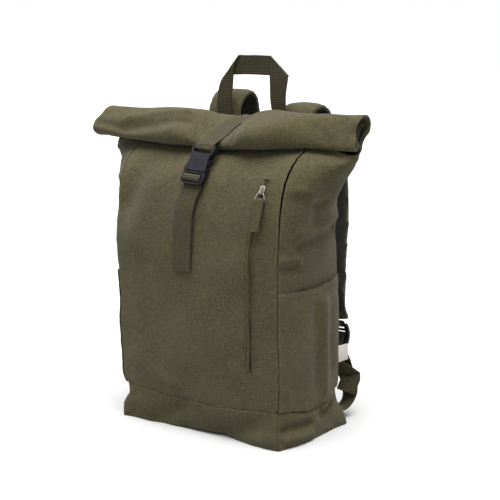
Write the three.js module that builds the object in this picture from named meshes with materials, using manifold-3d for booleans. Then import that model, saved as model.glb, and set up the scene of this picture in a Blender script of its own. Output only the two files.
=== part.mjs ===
// A canvas rolltop backpack that stands on its base. Its walls are thin sewn panels round a hollow,
// and its mouth is flattened and rolled forward. A webbing strap with a side-release buckle holds
// the roll down over the front. Units are millimetres. +Z is up, the front faces -Y, and the origin
// is the middle of the base on the floor.
import * as THREE from "three";
import { mergeVertices } from "three/addons/utils/BufferGeometryUtils.js";
import Module from "manifold-3d";

const wasm = await Module();
wasm.setup();

// Body sizes
const BAG_WIDTH = 270;
const BAG_DEPTH = 145;
const BACK_HEIGHT = 405;
const BAND_HEIGHT = 43;
const BAND_CORNER_RISE = 7;
const CANVAS = 1.6;
const BASE_THICKNESS = 2.4;
const PIECE_GAP = 0.3;

// Roll sizes
const ROLL_LENGTH = 412;
const ROLL_DEPTH = 60;
const ROLL_HEIGHT = 48;
const ROLL_LAYERS = 2.8;
const VALLEY_FLOOR = 36;
const VALLEY_REACH = 106;
const NECK_RISE = 4;
const ROOF_BULGE = 2.6;

// Webbing sizes
const STRAP_WIDTH = 30;
const STRAP_THICKNESS = 1.8;
const STRAP_X = 4;
const TAIL_END_X = -9;
const TAIL_END_HEIGHT = 222;
const ANCHOR_HEIGHT = 243;
const STRAP_ROOT_LENGTH = 24;
const NARROW_WIDTH = 25;
const NARROW_THICKNESS = 1.8;

// Side-release buckle sizes
const BUCKLE_WIDTH = 38;
const BUCKLE_WAIST = 31;
const BUCKLE_LENGTH = 56;
const SOCKET_LENGTH = 38;
const SOCKET_THICKNESS = 9;
const SOCKET_BAR_THICKNESS = 4.4;
const PLUG_THICKNESS = 6;
const PLUG_BAR = 2.7;
const BUCKLE_SLOT = 5.3;
const BUCKLE_STANDOFF = 1.2;
const BUCKLE_LEAN = 32;
const BUCKLE_SWING = 4;
const BUCKLE_X = 0;
const BUCKLE_FOOT = 328.5;
const CORNER_EASE = 1.08;

// Ladder lock sizes
const LOCK_WIDTH = 38;
const LOCK_LENGTH = 31;
const LOCK_THICKNESS = 4;
const LOCK_BAR = 3.2;
const LOCK_SLOT = 5.4;
const LOCK_BOW = 6;
const LOCK_DROP = 5.5;
const LOOP_DROP = 2.7;

// Carry handle sizes
const HANDLE_WIDTH = 118;
const HANDLE_RISE = 106;
const HANDLE_X = -7;
const HANDLE_ROOT_DEPTH = 20;
const HANDLE_EDGE = 1.2;

// Shoulder strap sizes
const PAD_WIDTH = 60;
const PAD_END_WIDTH = 44;
const PAD_THICKNESS = 9;
const PAD_SPACING = 120;
const PAD_PEAK_DROP = 17;

// Zip sizes
const ZIP_LOW = 99;
const ZIP_HIGH = 344;
const ZIP_FROM_SEAM_LOW = 42;
const ZIP_FROM_SEAM_HIGH = 39;
const ZIP_BEND = 12;
const ZIP_SLOT = 9;
const ZIP_TAPE_WIDTH = 22;
const ZIP_TAPE = 0.8;
const ZIP_COIL_WIDTH = 5.2;
const ZIP_COIL = 1.8;
const SLIDER_WIDTH = 8.4;
const SLIDER_LENGTH = 11;
const PULLER_WIDTH = 12.4;
const PULLER_LENGTH = 40;

// Pocket and label sizes
const POCKET_HEIGHT = 202;
const POCKET_EDGE_RISE = 6;
const CREASE_DEPTH = 5;
const CREASE_HEIGHT = 279;
const CREASE_REACH = 17;
const POCKET_GAPE = 3;
const LABEL_WIDTH = 22;
const LABEL_HEIGHT = 22;
const LABEL_LOW = 84;
const LABEL_SEAT = 0.8;

const HALF_WIDTH = BAG_WIDTH / 2;
const HALF_DEPTH = BAG_DEPTH / 2;

// The bag's cross-section at heights up the bag, one row each. The columns frontUp, foldUp and
// backUp are shares of BACK_HEIGHT. The columns frontWide and backWide are shares of half the
// width. The other lengths are shares of half the depth: how far the front and back stand from the
// middle, how far the side's own middle stands out past the front seam and back from the middle,
// and how far the front bulges. fullFront and fullBack are how full the two halves of the side are:
// 1 is flat to its middle.
const SECTIONS = [
  { frontUp: 0, foldUp: 0, backUp: 0, frontWide: 0.985, backWide: 0.985, front: 0.98,
    back: 0.97, foldOut: 0.09, foldBack: -0.1, bulge: -0.03, fullFront: 2.2, fullBack: 2.2 },
  { frontUp: 0.045, foldUp: 0.045, backUp: 0.045, frontWide: 0.985, backWide: 0.965, front: 1.0,
    back: 0.95, foldOut: 0.1, foldBack: -0.1, bulge: 0.01, fullFront: 2.2, fullBack: 2.2 },
  { frontUp: 0.11, foldUp: 0.11, backUp: 0.11, frontWide: 0.99, backWide: 0.95, front: 1.0,
    back: 0.93, foldOut: 0.07, foldBack: 0, bulge: 0.05, fullFront: 2.2, fullBack: 2.2 },
  { frontUp: 0.27, foldUp: 0.27, backUp: 0.27, frontWide: 1.01, backWide: 0.95, front: 1.0,
    back: 0.94, foldOut: 0.06, foldBack: 0, bulge: 0.12, fullFront: 2.2, fullBack: 2.2 },
  { frontUp: 0.44, foldUp: 0.44, backUp: 0.45, frontWide: 1.015, backWide: 0.95, front: 1.0,
    back: 0.95, foldOut: 0.06, foldBack: 0, bulge: 0.14, fullFront: 2.2, fullBack: 2.2 },
  { frontUp: 0.6, foldUp: 0.61, backUp: 0.63, frontWide: 1.02, backWide: 0.95, front: 1.0,
    back: 0.94, foldOut: 0.08, foldBack: 0.03, bulge: 0.13, fullFront: 2.2, fullBack: 2.2 },
  { frontUp: 0.71, foldUp: 0.72, backUp: 0.76, frontWide: 1.02, backWide: 0.96, front: 0.96,
    back: 0.92, foldOut: 0.2, foldBack: 0.1, bulge: 0.1, fullFront: 3, fullBack: 1.9 },
  { frontUp: 0.8, foldUp: 0.81, backUp: 0.85, frontWide: 1.02, backWide: 0.99, front: 0.87,
    back: 0.9, foldOut: 0.46, foldBack: 0.16, bulge: 0.06, fullFront: 3.6, fullBack: 1.6 },
  { frontUp: 0.86, foldUp: 0.868, backUp: 0.91, frontWide: 1.02, backWide: 1.03, front: 0.72,
    back: 0.87, foldOut: 0.68, foldBack: 0.18, bulge: 0.03, fullFront: 3.6, fullBack: 1.45 },
  { frontUp: 0.916, foldUp: 0.905, backUp: 0.955, frontWide: 1.02, backWide: 1.07, front: 0.4,
    back: 0.85, foldOut: 0.88, foldBack: 0.14, bulge: 0, fullFront: 3, fullBack: 1.35 },
  { frontUp: 0.94, foldUp: 0.921, backUp: 0.985, frontWide: 1.02, backWide: 1.09, front: 0.02,
    back: 0.83, foldOut: 0.93, foldBack: 0.12, bulge: 0, fullFront: 3, fullBack: 1.3 },
  { frontUp: 0.96, foldUp: 0.932, backUp: 1, frontWide: 1.02, backWide: 1.1, front: -0.1,
    back: 0.82, foldOut: 0.94, foldBack: 0.13, bulge: 0, fullFront: 3, fullBack: 1.3 },
];

// The line that the rolled cloth follows once it has left the bag's upper edge: over the top, down
// the front, back under and round again. Each row is one bend. The middle of each half is round,
// the ends are flatter, and the strap presses a valley between the halves. Columns ending in Y are
// shares of ROLL_DEPTH back from the middle of the bag, and columns ending in Z are shares of
// ROLL_HEIGHT above the foot of the roll.
const ROLL_BENDS = [
  { middleY: 0.25, middleZ: 0.94, rightY: 0.52, rightZ: 0.73,
    leftY: 0.22, leftZ: 0.82, strapY: 0.25, strapZ: 0.57 },
  { middleY: -0.1, middleZ: 0.95, rightY: 0.42, rightZ: 0.93,
    leftY: 0.05, leftZ: 0.94, strapY: -0.05, strapZ: 0.46 },
  { middleY: -0.42, middleZ: 0.81, rightY: 0.23, rightZ: 0.94,
    leftY: -0.17, leftZ: 0.92, strapY: -0.28, strapZ: 0.31 },
  { middleY: -0.64, middleZ: 0.54, rightY: 0.1, rightZ: 0.77,
    leftY: -0.42, leftZ: 0.74, strapY: -0.48, strapZ: 0.22 },
  { middleY: -0.69, middleZ: 0.27, rightY: 0.02, rightZ: 0.52,
    leftY: -0.63, leftZ: 0.53, strapY: -0.58, strapZ: 0.085 },
  { middleY: -0.59, middleZ: 0.08, rightY: -0.06, rightZ: 0.28,
    leftY: -0.69, leftZ: 0.35, strapY: -0.52, strapZ: -0.01 },
  { middleY: -0.4, middleZ: 0.07, rightY: -0.07, rightZ: 0.13,
    leftY: -0.58, leftZ: 0.21, strapY: -0.35, strapZ: 0.03 },
  { middleY: -0.17, middleZ: 0.21, rightY: 0.01, rightZ: 0.12,
    leftY: -0.38, leftZ: 0.17, strapY: -0.15, strapZ: 0.15 },
  { middleY: 0.03, middleZ: 0.4, rightY: 0.12, rightZ: 0.33,
    leftY: -0.18, leftZ: 0.27, strapY: 0, strapZ: 0.27 },
  { middleY: 0.09, middleZ: 0.6, rightY: 0.24, rightZ: 0.55,
    leftY: -0.06, leftZ: 0.45, strapY: 0.05, strapZ: 0.33 },
  { middleY: -0.03, middleZ: 0.75, rightY: 0.33, rightZ: 0.73,
    leftY: -0.04, leftZ: 0.63, strapY: -0.06, strapZ: 0.37 },
  { middleY: -0.25, middleZ: 0.71, rightY: 0.25, rightZ: 0.75,
    leftY: -0.17, leftZ: 0.71, strapY: -0.22, strapZ: 0.265 },
  { middleY: -0.44, middleZ: 0.53, rightY: 0.16, rightZ: 0.56,
    leftY: -0.35, leftZ: 0.59, strapY: -0.38, strapZ: 0.15 },
  { middleY: -0.5, middleZ: 0.36, rightY: 0.09, rightZ: 0.41,
    leftY: -0.47, leftZ: 0.44, strapY: -0.42, strapZ: 0.09 },
];
const ROLL_FOOT = 376;
const ROLL_COLUMNS = [
  -1, -0.91, -0.81, -0.71, -0.58, -0.45, -0.34, -0.24, -0.165,
  -0.105, -0.062, 0.101, 0.145, 0.205, 0.275, 0.36, 0.47,
  0.59, 0.71, 0.81, 0.91, 1,
];

// The shoulder strap's middle line as it leaves the seam, arches up and back, bows out and comes in
// again. Columns are millimetres: out from the strap's own place at the top, back from the middle
// of the bag, and up.
const PAD_ROUTE = [
  { out: 0, back: 70.9, up: 384 },
  { out: 0, back: 70.9, up: 404 },
  { out: 0, back: 76, up: 428 },
  { out: 0, back: 93, up: 440.5 },
  { out: 0, back: 108, up: 430 },
  { out: 2, back: 118, up: 404 },
  { out: 4, back: 130, up: 368 },
  { out: 8, back: 141, up: 328 },
  { out: 13, back: 138, up: 286 },
  { out: 19, back: 127, up: 244 },
  { out: 26, back: 114, up: 200 },
  { out: 33, back: 106.5, up: 164 },
  { out: 37, back: 107, up: 134 },
];

// The adjusting webbing's slack, from its seam in the base corner round and up to the ladder lock,
// and its free end from the lock down, out and down again. turn is how many degrees the webbing's
// width is turned to the back.
const SLACK_ROUTE = [
  { out: 105, back: 75.6, up: 18, turn: -22 },
  { out: 111, back: 87, up: 13, turn: -26 },
  { out: 114, back: 99, up: 14, turn: -26 },
  { out: 116, back: 109, up: 22, turn: -20 },
  { out: 115, back: 115, up: 37, turn: -5 },
  { out: 107, back: 117, up: 56, turn: 0 },
  { out: 101, back: 118, up: 76, turn: 0 },
];
const FREE_END_ROUTE = [
  { out: 97, back: 98, up: 88, turn: 0 },
  { out: 101, back: 95, up: 76, turn: 6 },
  { out: 110, back: 103, up: 65, turn: 22 },
  { out: 119, back: 111.5, up: 56, turn: 37 },
  { out: 119.5, back: 108, up: 50, turn: 38 },
  { out: 117, back: 100.5, up: 34, turn: 38 },
];

// The left edge and right edge of each handle leg from its seam up to the diagonal fold that it
// shares with the crosspiece. The side columns are shares of half the handle's width out from its
// middle, negative to the left, and the up columns are shares of HANDLE_RISE above the seam.
const LEFT_LEG = [
  { left: -1, leftUp: 0, right: -0.575, rightUp: 0 },
  { left: -1, leftUp: 0.26, right: -0.57, rightUp: 0.26 },
  { left: -1.025, leftUp: 0.48, right: -0.59, rightUp: 0.5 },
  { left: -0.94, leftUp: 0.64, right: -0.555, rightUp: 0.68 },
  { left: -0.85, leftUp: 0.715, right: -0.51, rightUp: 0.84 },
  { left: -0.78, leftUp: 0.755, right: -0.34, rightUp: 1 },
];
const RIGHT_LEG = [
  { left: 0.6, leftUp: 0, right: 1, rightUp: 0 },
  { left: 0.61, leftUp: 0.26, right: 0.98, rightUp: 0.26 },
  { left: 0.53, leftUp: 0.49, right: 0.95, rightUp: 0.48 },
  { left: 0.56, leftUp: 0.63, right: 1.02, rightUp: 0.62 },
  { left: 0.545, leftUp: 0.75, right: 1.05, rightUp: 0.73 },
  { left: 0.57, leftUp: 1, right: 1.05, rightUp: 0.75 },
];

const PAD_PEAK = Math.max(...PAD_ROUTE.map(({ up }) => up));

const canvasColour = new THREE.MeshStandardMaterial({ color: 0x5c573d, roughness: 0.95, metalness: 0 });
const webbingColour = new THREE.MeshStandardMaterial({ color: 0x4d4a33, roughness: 0.9, metalness: 0 });
const plasticColour = new THREE.MeshStandardMaterial({ color: 0x1e1d20, roughness: 0.4, metalness: 0 });
const metalColour = new THREE.MeshStandardMaterial({ color: 0xb9b6ae, roughness: 0.3, metalness: 1 });
const zipColour = new THREE.MeshStandardMaterial({ color: 0x241f16, roughness: 0.8, metalness: 0 });
const labelColour = new THREE.MeshStandardMaterial({ color: 0xece7e0, roughness: 0.85, metalness: 0 });

const backpack = new THREE.Group();
backpack.name = "rolltop_backpack";

function add(name, geometry, material) {
  const mesh = new THREE.Mesh(geometry, material.clone());
  mesh.name = name;
  backpack.add(mesh);
  return mesh;
}

// The value at position t, counted in rows, of one column of a table, on a smooth curve through the rows.
function smoothColumn(rows, column, t) {
  const i = Math.min(Math.floor(t), rows.length - 2);
  const at = (k) => rows[THREE.MathUtils.clamp(k, 0, rows.length - 1)][column];
  const [a, b, c, d] = [at(i - 1), at(i), at(i + 1), at(i + 2)];
  const f = t - i;
  return b + 0.5 * f * (c - a + f * (2 * a - 5 * b + 4 * c - d + f * (3 * (b - c) + d - a)));
}

// How deep the soft crease across each side is. It climbs to the back and fades out to the front.
function crease(back, height) {
  const middle = CREASE_HEIGHT + CREASE_REACH * (back - 0.5);
  const along = THREE.MathUtils.smoothstep(back, 0.1, 0.6) * (1 - THREE.MathUtils.smoothstep(back, 0.9, 1));
  return CREASE_DEPTH * along * Math.exp(-(((height - middle) / CREASE_REACH) ** 2));
}

// The bag's cross-section at rise, which goes from 0 at the base to 1 at the mouth.
function section(rise) {
  const t = THREE.MathUtils.clamp(rise, 0, 1) * (SECTIONS.length - 1);
  const value = (column) => smoothColumn(SECTIONS, column, t);
  const frontWide = value("frontWide") * HALF_WIDTH;
  return {
    front: new THREE.Vector3(frontWide, -value("front") * HALF_DEPTH, value("frontUp") * BACK_HEIGHT),
    fold: new THREE.Vector3(
      frontWide + value("foldOut") * HALF_DEPTH,
      value("foldBack") * HALF_DEPTH,
      value("foldUp") * BACK_HEIGHT,
    ),
    back: new THREE.Vector3(
      value("backWide") * HALF_WIDTH,
      value("back") * HALF_DEPTH,
      value("backUp") * BACK_HEIGHT,
    ),
    bulge: value("bulge") * HALF_DEPTH,
    fullFront: value("fullFront"),
    fullBack: value("fullBack"),
  };
}

// A point on the bag's outer face. around goes from 0 to 1 along the front, 1 to 2 along the right
// side, 2 to 3 along the back and 3 to 4 along the left side.
function bodyPoint(around, rise) {
  const s = section(rise);
  const turn = ((around % 4) + 4) % 4;
  const panel = Math.floor(turn);
  const along = turn - panel;
  if (panel === 0) {
    const crown = 1 - Math.abs(2 * along - 1) ** 2.2;
    return new THREE.Vector3((2 * along - 1) * s.front.x, s.front.y - s.bulge * crown, s.front.z);
  }
  if (panel === 2) {
    return new THREE.Vector3((1 - 2 * along) * s.back.x, s.back.y, s.back.z);
  }
  const t = panel === 1 ? along : 1 - along;
  const chord = s.front.clone().lerp(s.back, t);
  const middle = s.front.clone().add(s.back).multiplyScalar(0.5);
  const fullness = 1 - Math.abs(2 * t - 1) ** (t < 0.5 ? s.fullFront : s.fullBack);
  const p = chord.add(s.fold.clone().sub(middle).multiplyScalar(fullness));
  p.x -= crease(t, p.z);
  return panel === 1 ? p : new THREE.Vector3(-p.x, p.y, p.z);
}

// The unit normal of a surface(u, v) by differences of du and dv.
function normalOf(surface, u, v, du, dv) {
  const across = surface(u + du, v).sub(surface(u - du, v));
  const up = surface(u, v + dv).sub(surface(u, v - dv));
  return across.cross(up).normalize();
}

// The rise at which the front or the fold of the bag has this height.
function riseAt(height, place) {
  let low = 0;
  let high = 1;
  for (let step = 0; step < 40; step++) {
    const middle = (low + high) / 2;
    if (section(middle)[place].z < height) low = middle;
    else high = middle;
  }
  return (low + high) / 2;
}

function frontSurface(x, height) {
  const rise = riseAt(height, "front");
  return bodyPoint((x / section(rise).front.x + 1) / 2, rise);
}

// A closed slab between two offset copies of surface(u, v). outer and inner are distances along the
// normal, and at gives the place of each column as a share of u's range.
function slab(surface, { u, v, nu, nv, outer = 0, inner, du = 0.004, dv = 0.004, loop = false, at }) {
  const positions = [];
  const index = [];
  const columns = loop ? nu : nu + 1;
  const place = (layer, i, j) => (layer * columns + (loop ? i % nu : i)) * (nv + 1) + j;
  for (const offset of [outer, inner]) {
    for (let i = 0; i < columns; i++) {
      const a = u[0] + (u[1] - u[0]) * (at ? at[i] : i / nu);
      const range = typeof v === "function" ? v(a) : v;
      for (let j = 0; j <= nv; j++) {
        const b = range[0] + ((range[1] - range[0]) * j) / nv;
        const distance = typeof offset === "function" ? offset(a, b) : offset;
        const p = surface(a, b).addScaledVector(normalOf(surface, a, b, du, dv), distance);
        positions.push(p.x, p.y, p.z);
      }
    }
  }
  const quad = (a, b, c, d) => index.push(a, b, c, a, c, d);
  for (let i = 0; i < nu; i++) {
    for (let j = 0; j < nv; j++) {
      quad(place(0, i, j), place(0, i + 1, j), place(0, i + 1, j + 1), place(0, i, j + 1));
      quad(place(1, i, j), place(1, i, j + 1), place(1, i + 1, j + 1), place(1, i + 1, j));
    }
    quad(place(0, i, 0), place(1, i, 0), place(1, i + 1, 0), place(0, i + 1, 0));
    quad(place(0, i, nv), place(0, i + 1, nv), place(1, i + 1, nv), place(1, i, nv));
  }
  if (!loop) {
    for (let j = 0; j < nv; j++) {
      quad(place(0, 0, j), place(0, 0, j + 1), place(1, 0, j + 1), place(1, 0, j));
      quad(place(0, nu, j), place(1, nu, j), place(1, nu, j + 1), place(0, nu, j + 1));
    }
  }
  const geometry = new THREE.BufferGeometry();
  geometry.setAttribute("position", new THREE.Float32BufferAttribute(positions, 3));
  geometry.setIndex(index);
  return geometry;
}

// A manifold-3d solid from a closed geometry, whichever way its faces were wound.
function solid(geometry) {
  const bare = new THREE.BufferGeometry();
  bare.setAttribute("position", geometry.getAttribute("position"));
  bare.setIndex(geometry.getIndex());
  const merged = mergeVertices(bare, 1e-3);
  const make = (flip) => {
    const triVerts = new Uint32Array(merged.index.array);
    for (let i = 0; flip && i < triVerts.length; i += 3) {
      [triVerts[i + 1], triVerts[i + 2]] = [triVerts[i + 2], triVerts[i + 1]];
    }
    return new wasm.Manifold(
      new wasm.Mesh({ numProp: 3, vertProperties: merged.attributes.position.array, triVerts }),
    );
  };
  const made = make(false);
  return made.volume() < 0 ? make(true) : made;
}

function geometryOf(made) {
  const mesh = made.getMesh();
  const geometry = new THREE.BufferGeometry();
  geometry.setAttribute("position", new THREE.BufferAttribute(mesh.vertProperties, 3));
  geometry.setIndex(new THREE.BufferAttribute(mesh.triVerts, 1));
  return geometry;
}

// A frame with its own across, along and out directions, all unit vectors at right angles.
function frameAt(origin, along, out) {
  const across = along.clone().cross(out).normalize();
  return {
    across,
    place: (a, l, n) =>
      origin.clone().addScaledVector(across, a).addScaledVector(along, l).addScaledVector(out, n),
    matrix: new THREE.Matrix4().makeBasis(across, along, out).setPosition(origin),
  };
}

function rectangle(width, length, middleX = 0, middleY = 0) {
  const [x, y] = [width / 2, length / 2];
  return [
    [middleX - x, middleY - y],
    [middleX + x, middleY - y],
    [middleX + x, middleY + y],
    [middleX - x, middleY + y],
  ];
}

// A flat plate with holes, from lists of corners, that lies in the frame between two heights over it.
function plate(frame, outline, holes, low, high) {
  const shape = new THREE.Shape(outline.map(([x, y]) => new THREE.Vector2(x, y)));
  shape.holes = holes.map((h) => new THREE.Path(h.map(([x, y]) => new THREE.Vector2(x, y))));
  const geometry = new THREE.ExtrudeGeometry(shape, { depth: high - low, bevelEnabled: false });
  geometry.translate(0, 0, low);
  geometry.applyMatrix4(frame.matrix);
  return geometry;
}

// A webbing strip along a smooth line through the points, with steps between each two of them.
// widthAt gives the unit direction of its width at a share of the line.
function strip(points, width, thickness, widthAt, steps = 2) {
  const line = new THREE.CatmullRomCurve3(points, false, "centripetal");
  const surface = (u, v) => {
    const t = THREE.MathUtils.clamp(v, 0, 1);
    const p = line.getPoint(t).addScaledVector(line.getTangent(t), (v - t) * line.getLength());
    return p.addScaledVector(widthAt(t), u * width);
  };
  return slab(surface, {
    u: [-0.5, 0.5],
    v: [0, 1],
    nu: 1,
    nv: steps * (points.length - 1),
    outer: thickness / 2,
    inner: -thickness / 2,
  });
}

const X_AXIS = new THREE.Vector3(1, 0, 0);

// Turns a plate's own frame so that it is drawn from the side: its x runs along, its y out and its
// depth across.
const TURNED = new THREE.Matrix4().makeBasis(
  new THREE.Vector3(0, 1, 0),
  new THREE.Vector3(0, 0, 1),
  new THREE.Vector3(1, 0, 0),
);
const acrossBag = () => X_AXIS;

// Where the seam over the base band runs: it climbs a little at each corner.
function bandTop(around) {
  const corner = Math.abs(Math.cos(Math.PI * around)) ** 3;
  return BAND_HEIGHT + BAND_CORNER_RISE * corner;
}

function bandRise(around, gap) {
  return riseAt(bandTop(around) + gap, "fold");
}

// How much of a panel is left off at each seam so that its neighbour keeps its gap.
const seamInset = (panelWidth) => PIECE_GAP / panelWidth;
const PANEL_COLUMNS = 10;

function baseTray() {
  const nu = 4 * PANEL_COLUMNS;
  const nv = 3;
  const wall = slab(bodyPoint, {
    u: [0, 4],
    v: (around) => [0, bandRise(around, -PIECE_GAP / 2)],
    nu,
    nv,
    inner: -CANVAS,
    du: 0.012,
    loop: true,
  });
  const floorShape = new THREE.Shape();
  for (let i = 0; i < nu; i++) {
    const p = bodyPoint((4 * i) / nu, 0);
    if (i === 0) floorShape.moveTo(p.x, p.y);
    else floorShape.lineTo(p.x, p.y);
  }
  const floor = new THREE.ExtrudeGeometry(floorShape, { depth: BASE_THICKNESS, bevelEnabled: false });
  const trim = new THREE.BoxGeometry(2 * BAG_WIDTH, 2 * BAG_WIDTH, 2 * BAND_HEIGHT);
  trim.translate(0, 0, -BAND_HEIGHT);
  return geometryOf(solid(wall).add(solid(floor)).subtract(solid(trim)));
}

function bodyPanel(from, panelWidth, nv) {
  const inset = seamInset(panelWidth);
  return slab(bodyPoint, {
    u: [from + inset, from + 1 - inset],
    v: (around) => [bandRise(around, PIECE_GAP / 2), 1],
    nu: PANEL_COLUMNS,
    nv,
    inner: -CANVAS,
    du: 0.012,
  });
}

// The zip's own patch of the front: across is millimetres from its middle, height is above the floor.
function zipSurface(across, height) {
  const share = (height - ZIP_LOW) / (ZIP_HIGH - ZIP_LOW);
  const bend = ZIP_BEND * THREE.MathUtils.smoothstep(share, 0.62, 1);
  const fromSeam = THREE.MathUtils.lerp(ZIP_FROM_SEAM_LOW, ZIP_FROM_SEAM_HIGH, share) - bend;
  return frontSurface(section(riseAt(height, "front")).front.x - fromSeam + across, height);
}

function zipStrip(width, low, high, outer, inner, nv) {
  const spans = { u: [-width / 2, width / 2], v: [low, high] };
  return slab(zipSurface, { ...spans, nu: 1, nv, outer, inner, du: 1, dv: 1 });
}

function frontPanel() {
  const slot = zipStrip(ZIP_SLOT, ZIP_LOW, ZIP_HIGH, CANVAS, -2.2 * CANVAS, 12);
  return geometryOf(solid(bodyPanel(0, BAG_WIDTH, 17)).subtract(solid(slot)));
}

// One side pocket: a canvas panel over the side, seam to seam, a little open along its top edge.
function sidePocket(from) {
  const inset = seamInset(BAG_DEPTH);
  const bottom = (around) => bandRise(around, PIECE_GAP / 2);
  const top = (around) => {
    const front = from === 1 ? 1 - 2 * (around - from) : 2 * (around - from) - 1;
    return riseAt(POCKET_HEIGHT + POCKET_EDGE_RISE * Math.max(0, front) ** 2, "fold");
  };
  const gape = (around, rise) => {
    const t = Math.abs(2 * (around - from) - 1);
    const up = (rise - bottom(around)) / (top(around) - bottom(around));
    return PIECE_GAP + POCKET_GAPE * (1 - t ** 2) * up ** 2;
  };
  return slab(bodyPoint, {
    u: [from + inset, from + 1 - inset],
    v: (around) => [bottom(around), top(around)],
    nu: PANEL_COLUMNS,
    nv: 5,
    outer: (around, rise) => gape(around, rise) + CANVAS,
    inner: gape,
    du: 0.012,
  });
}

// The place along the bag's upper edge behind the roll, as bodyPoint's around, at a distance x from
// the middle: on the back's seam, or on the back half of a side.
function mouthPlace(x) {
  const back = section(1).back.x;
  if (Math.abs(x) <= back) return 2.5 - x / back / 2;
  let low = 1.5;
  let high = 2;
  for (let step = 0; step < 40; step++) {
    const middle = (low + high) / 2;
    if (bodyPoint(middle, 1).x > Math.abs(x)) low = middle;
    else high = middle;
  }
  return x > 0 ? low : 5 - low;
}

// The rolled cloth as a surface: across goes from -1 to 1 along its length, and along follows its bends.
function rollLine(across) {
  const x = (across * ROLL_LENGTH) / 2;
  const end = THREE.MathUtils.smoothstep(Math.abs(across), 0.35, 1);
  const side = across > 0 ? "right" : "left";
  const valley = 1 - THREE.MathUtils.smoothstep(Math.abs(x - STRAP_X), VALLEY_FLOOR / 2, VALLEY_REACH / 2);
  const blend = (bend, axis) => {
    const full = THREE.MathUtils.lerp(bend["middle" + axis], bend[side + axis], end);
    return THREE.MathUtils.lerp(full, bend["strap" + axis], valley);
  };
  const points = ROLL_BENDS.map(
    (bend) => new THREE.Vector3(x, ROLL_DEPTH * blend(bend, "Y"), ROLL_FOOT + ROLL_HEIGHT * blend(bend, "Z")),
  );
  const around = mouthPlace(x);
  const normal = normalOf(bodyPoint, around, 1, 0.012, 0.004);
  const edge = bodyPoint(around, 1).addScaledVector(normal, -CANVAS / 2);
  const rise = bodyPoint(around, 1).sub(bodyPoint(around, 0.99)).setX(0).normalize();
  edge.x = x;
  const neck = edge.clone().addScaledVector(rise, NECK_RISE);
  const over = points[0].clone().sub(neck);
  const up = new THREE.Vector3(0, over.z, -over.y).normalize();
  const roof = [0.25, 0.6].map((share) =>
    neck.clone().addScaledVector(over, share).addScaledVector(up, 4 * share * (1 - share) * ROOF_BULGE),
  );
  points.unshift(edge.clone().addScaledVector(rise, 2.4 * PIECE_GAP), neck, ...roof);
  return new THREE.CatmullRomCurve3(points, false, "centripetal");
}

const rollLines = new Map();
function rollSurface(across, along) {
  const inside = THREE.MathUtils.clamp(across, -1, 1);
  const key = inside.toFixed(5);
  if (!rollLines.has(key)) rollLines.set(key, rollLine(inside));
  const line = rollLines.get(key);
  const t = THREE.MathUtils.clamp(along, 0, 1);
  const p = line.getPoint(t).addScaledVector(line.getTangent(t), (along - t) * ROLL_HEIGHT * 10);
  p.x += ((across - inside) * ROLL_LENGTH) / 2;
  return p;
}

// Single cloth where the roll leaves the back, and both layers once the front's cloth has joined it.
function rollHalfThickness(across, along) {
  return THREE.MathUtils.lerp(CANVAS, ROLL_LAYERS, THREE.MathUtils.smoothstep(along, 0.05, 0.2)) / 2;
}

function rollTop() {
  return slab(rollSurface, {
    u: [0, 1],
    v: [0, 1],
    nu: ROLL_COLUMNS.length - 1,
    nv: 35,
    outer: rollHalfThickness,
    inner: (across, along) => -rollHalfThickness(across, along),
    du: 0.004,
    dv: 0.002,
    at: ROLL_COLUMNS,
  });
}

// Where the strap lies on the roll: a point just over the cloth at a share of the roll's line.
function overRoll(along, clearance) {
  const across = (2 * STRAP_X) / ROLL_LENGTH;
  const out = normalOf(rollSurface, across, along, 0.004, 0.002).negate();
  return rollSurface(across, along).addScaledVector(out, rollHalfThickness(across, along) + clearance);
}

// The buckle's frame: its origin is the buckle's foot, along runs up it and out faces away from the bag.
const buckleFrame = (() => {
  const lean = THREE.MathUtils.degToRad(BUCKLE_LEAN);
  const swing = THREE.MathUtils.degToRad(BUCKLE_SWING);
  const out = new THREE.Vector3(0, -Math.cos(lean), Math.sin(lean));
  const along = new THREE.Vector3(0, Math.sin(lean), Math.cos(lean)).applyAxisAngle(out, -swing);
  const panel = frontSurface(BUCKLE_X, BUCKLE_FOOT);
  const origin = panel.addScaledVector(out, SOCKET_THICKNESS / 2 + BUCKLE_STANDOFF + 2 * STRAP_THICKNESS);
  return frameAt(origin, along, out);
})();

// The direction of a webbing's width: square to the bag, and by a share square to the buckle.
function acrossBuckle(share) {
  return X_AXIS.clone().lerp(buckleFrame.across, share).normalize();
}

// Points of a line that goes round a bar's corners at a distance from them: three at each corner.
function roundCorners(corners, distance) {
  const middle = corners.reduce(([a, b], [l, n]) => [a + l / corners.length, b + n / corners.length], [0, 0]);
  return corners.flatMap((corner, i) => {
    const sides = [corners[(i + corners.length - 1) % corners.length], corners[(i + 1) % corners.length]];
    const normals = sides.map(([l, n]) => {
      const edge = new THREE.Vector2(corner[0] - l, corner[1] - n).normalize();
      const normal = new THREE.Vector2(-edge.y, edge.x);
      const outward = normal.x * (corner[0] - middle[0]) + normal.y * (corner[1] - middle[1]);
      return outward < 0 ? normal.negate() : normal;
    });
    const between = normals[0].clone().add(normals[1]).normalize().multiplyScalar(CORNER_EASE);
    const moved = (way) => [corner[0] + way.x * distance, corner[1] + way.y * distance];
    return [normals[0], between, normals[1]].map(moved);
  });
}

function mirrored(points) {
  return [...points, ...points.map(([x, y]) => [-x, y]).reverse()];
}

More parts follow.
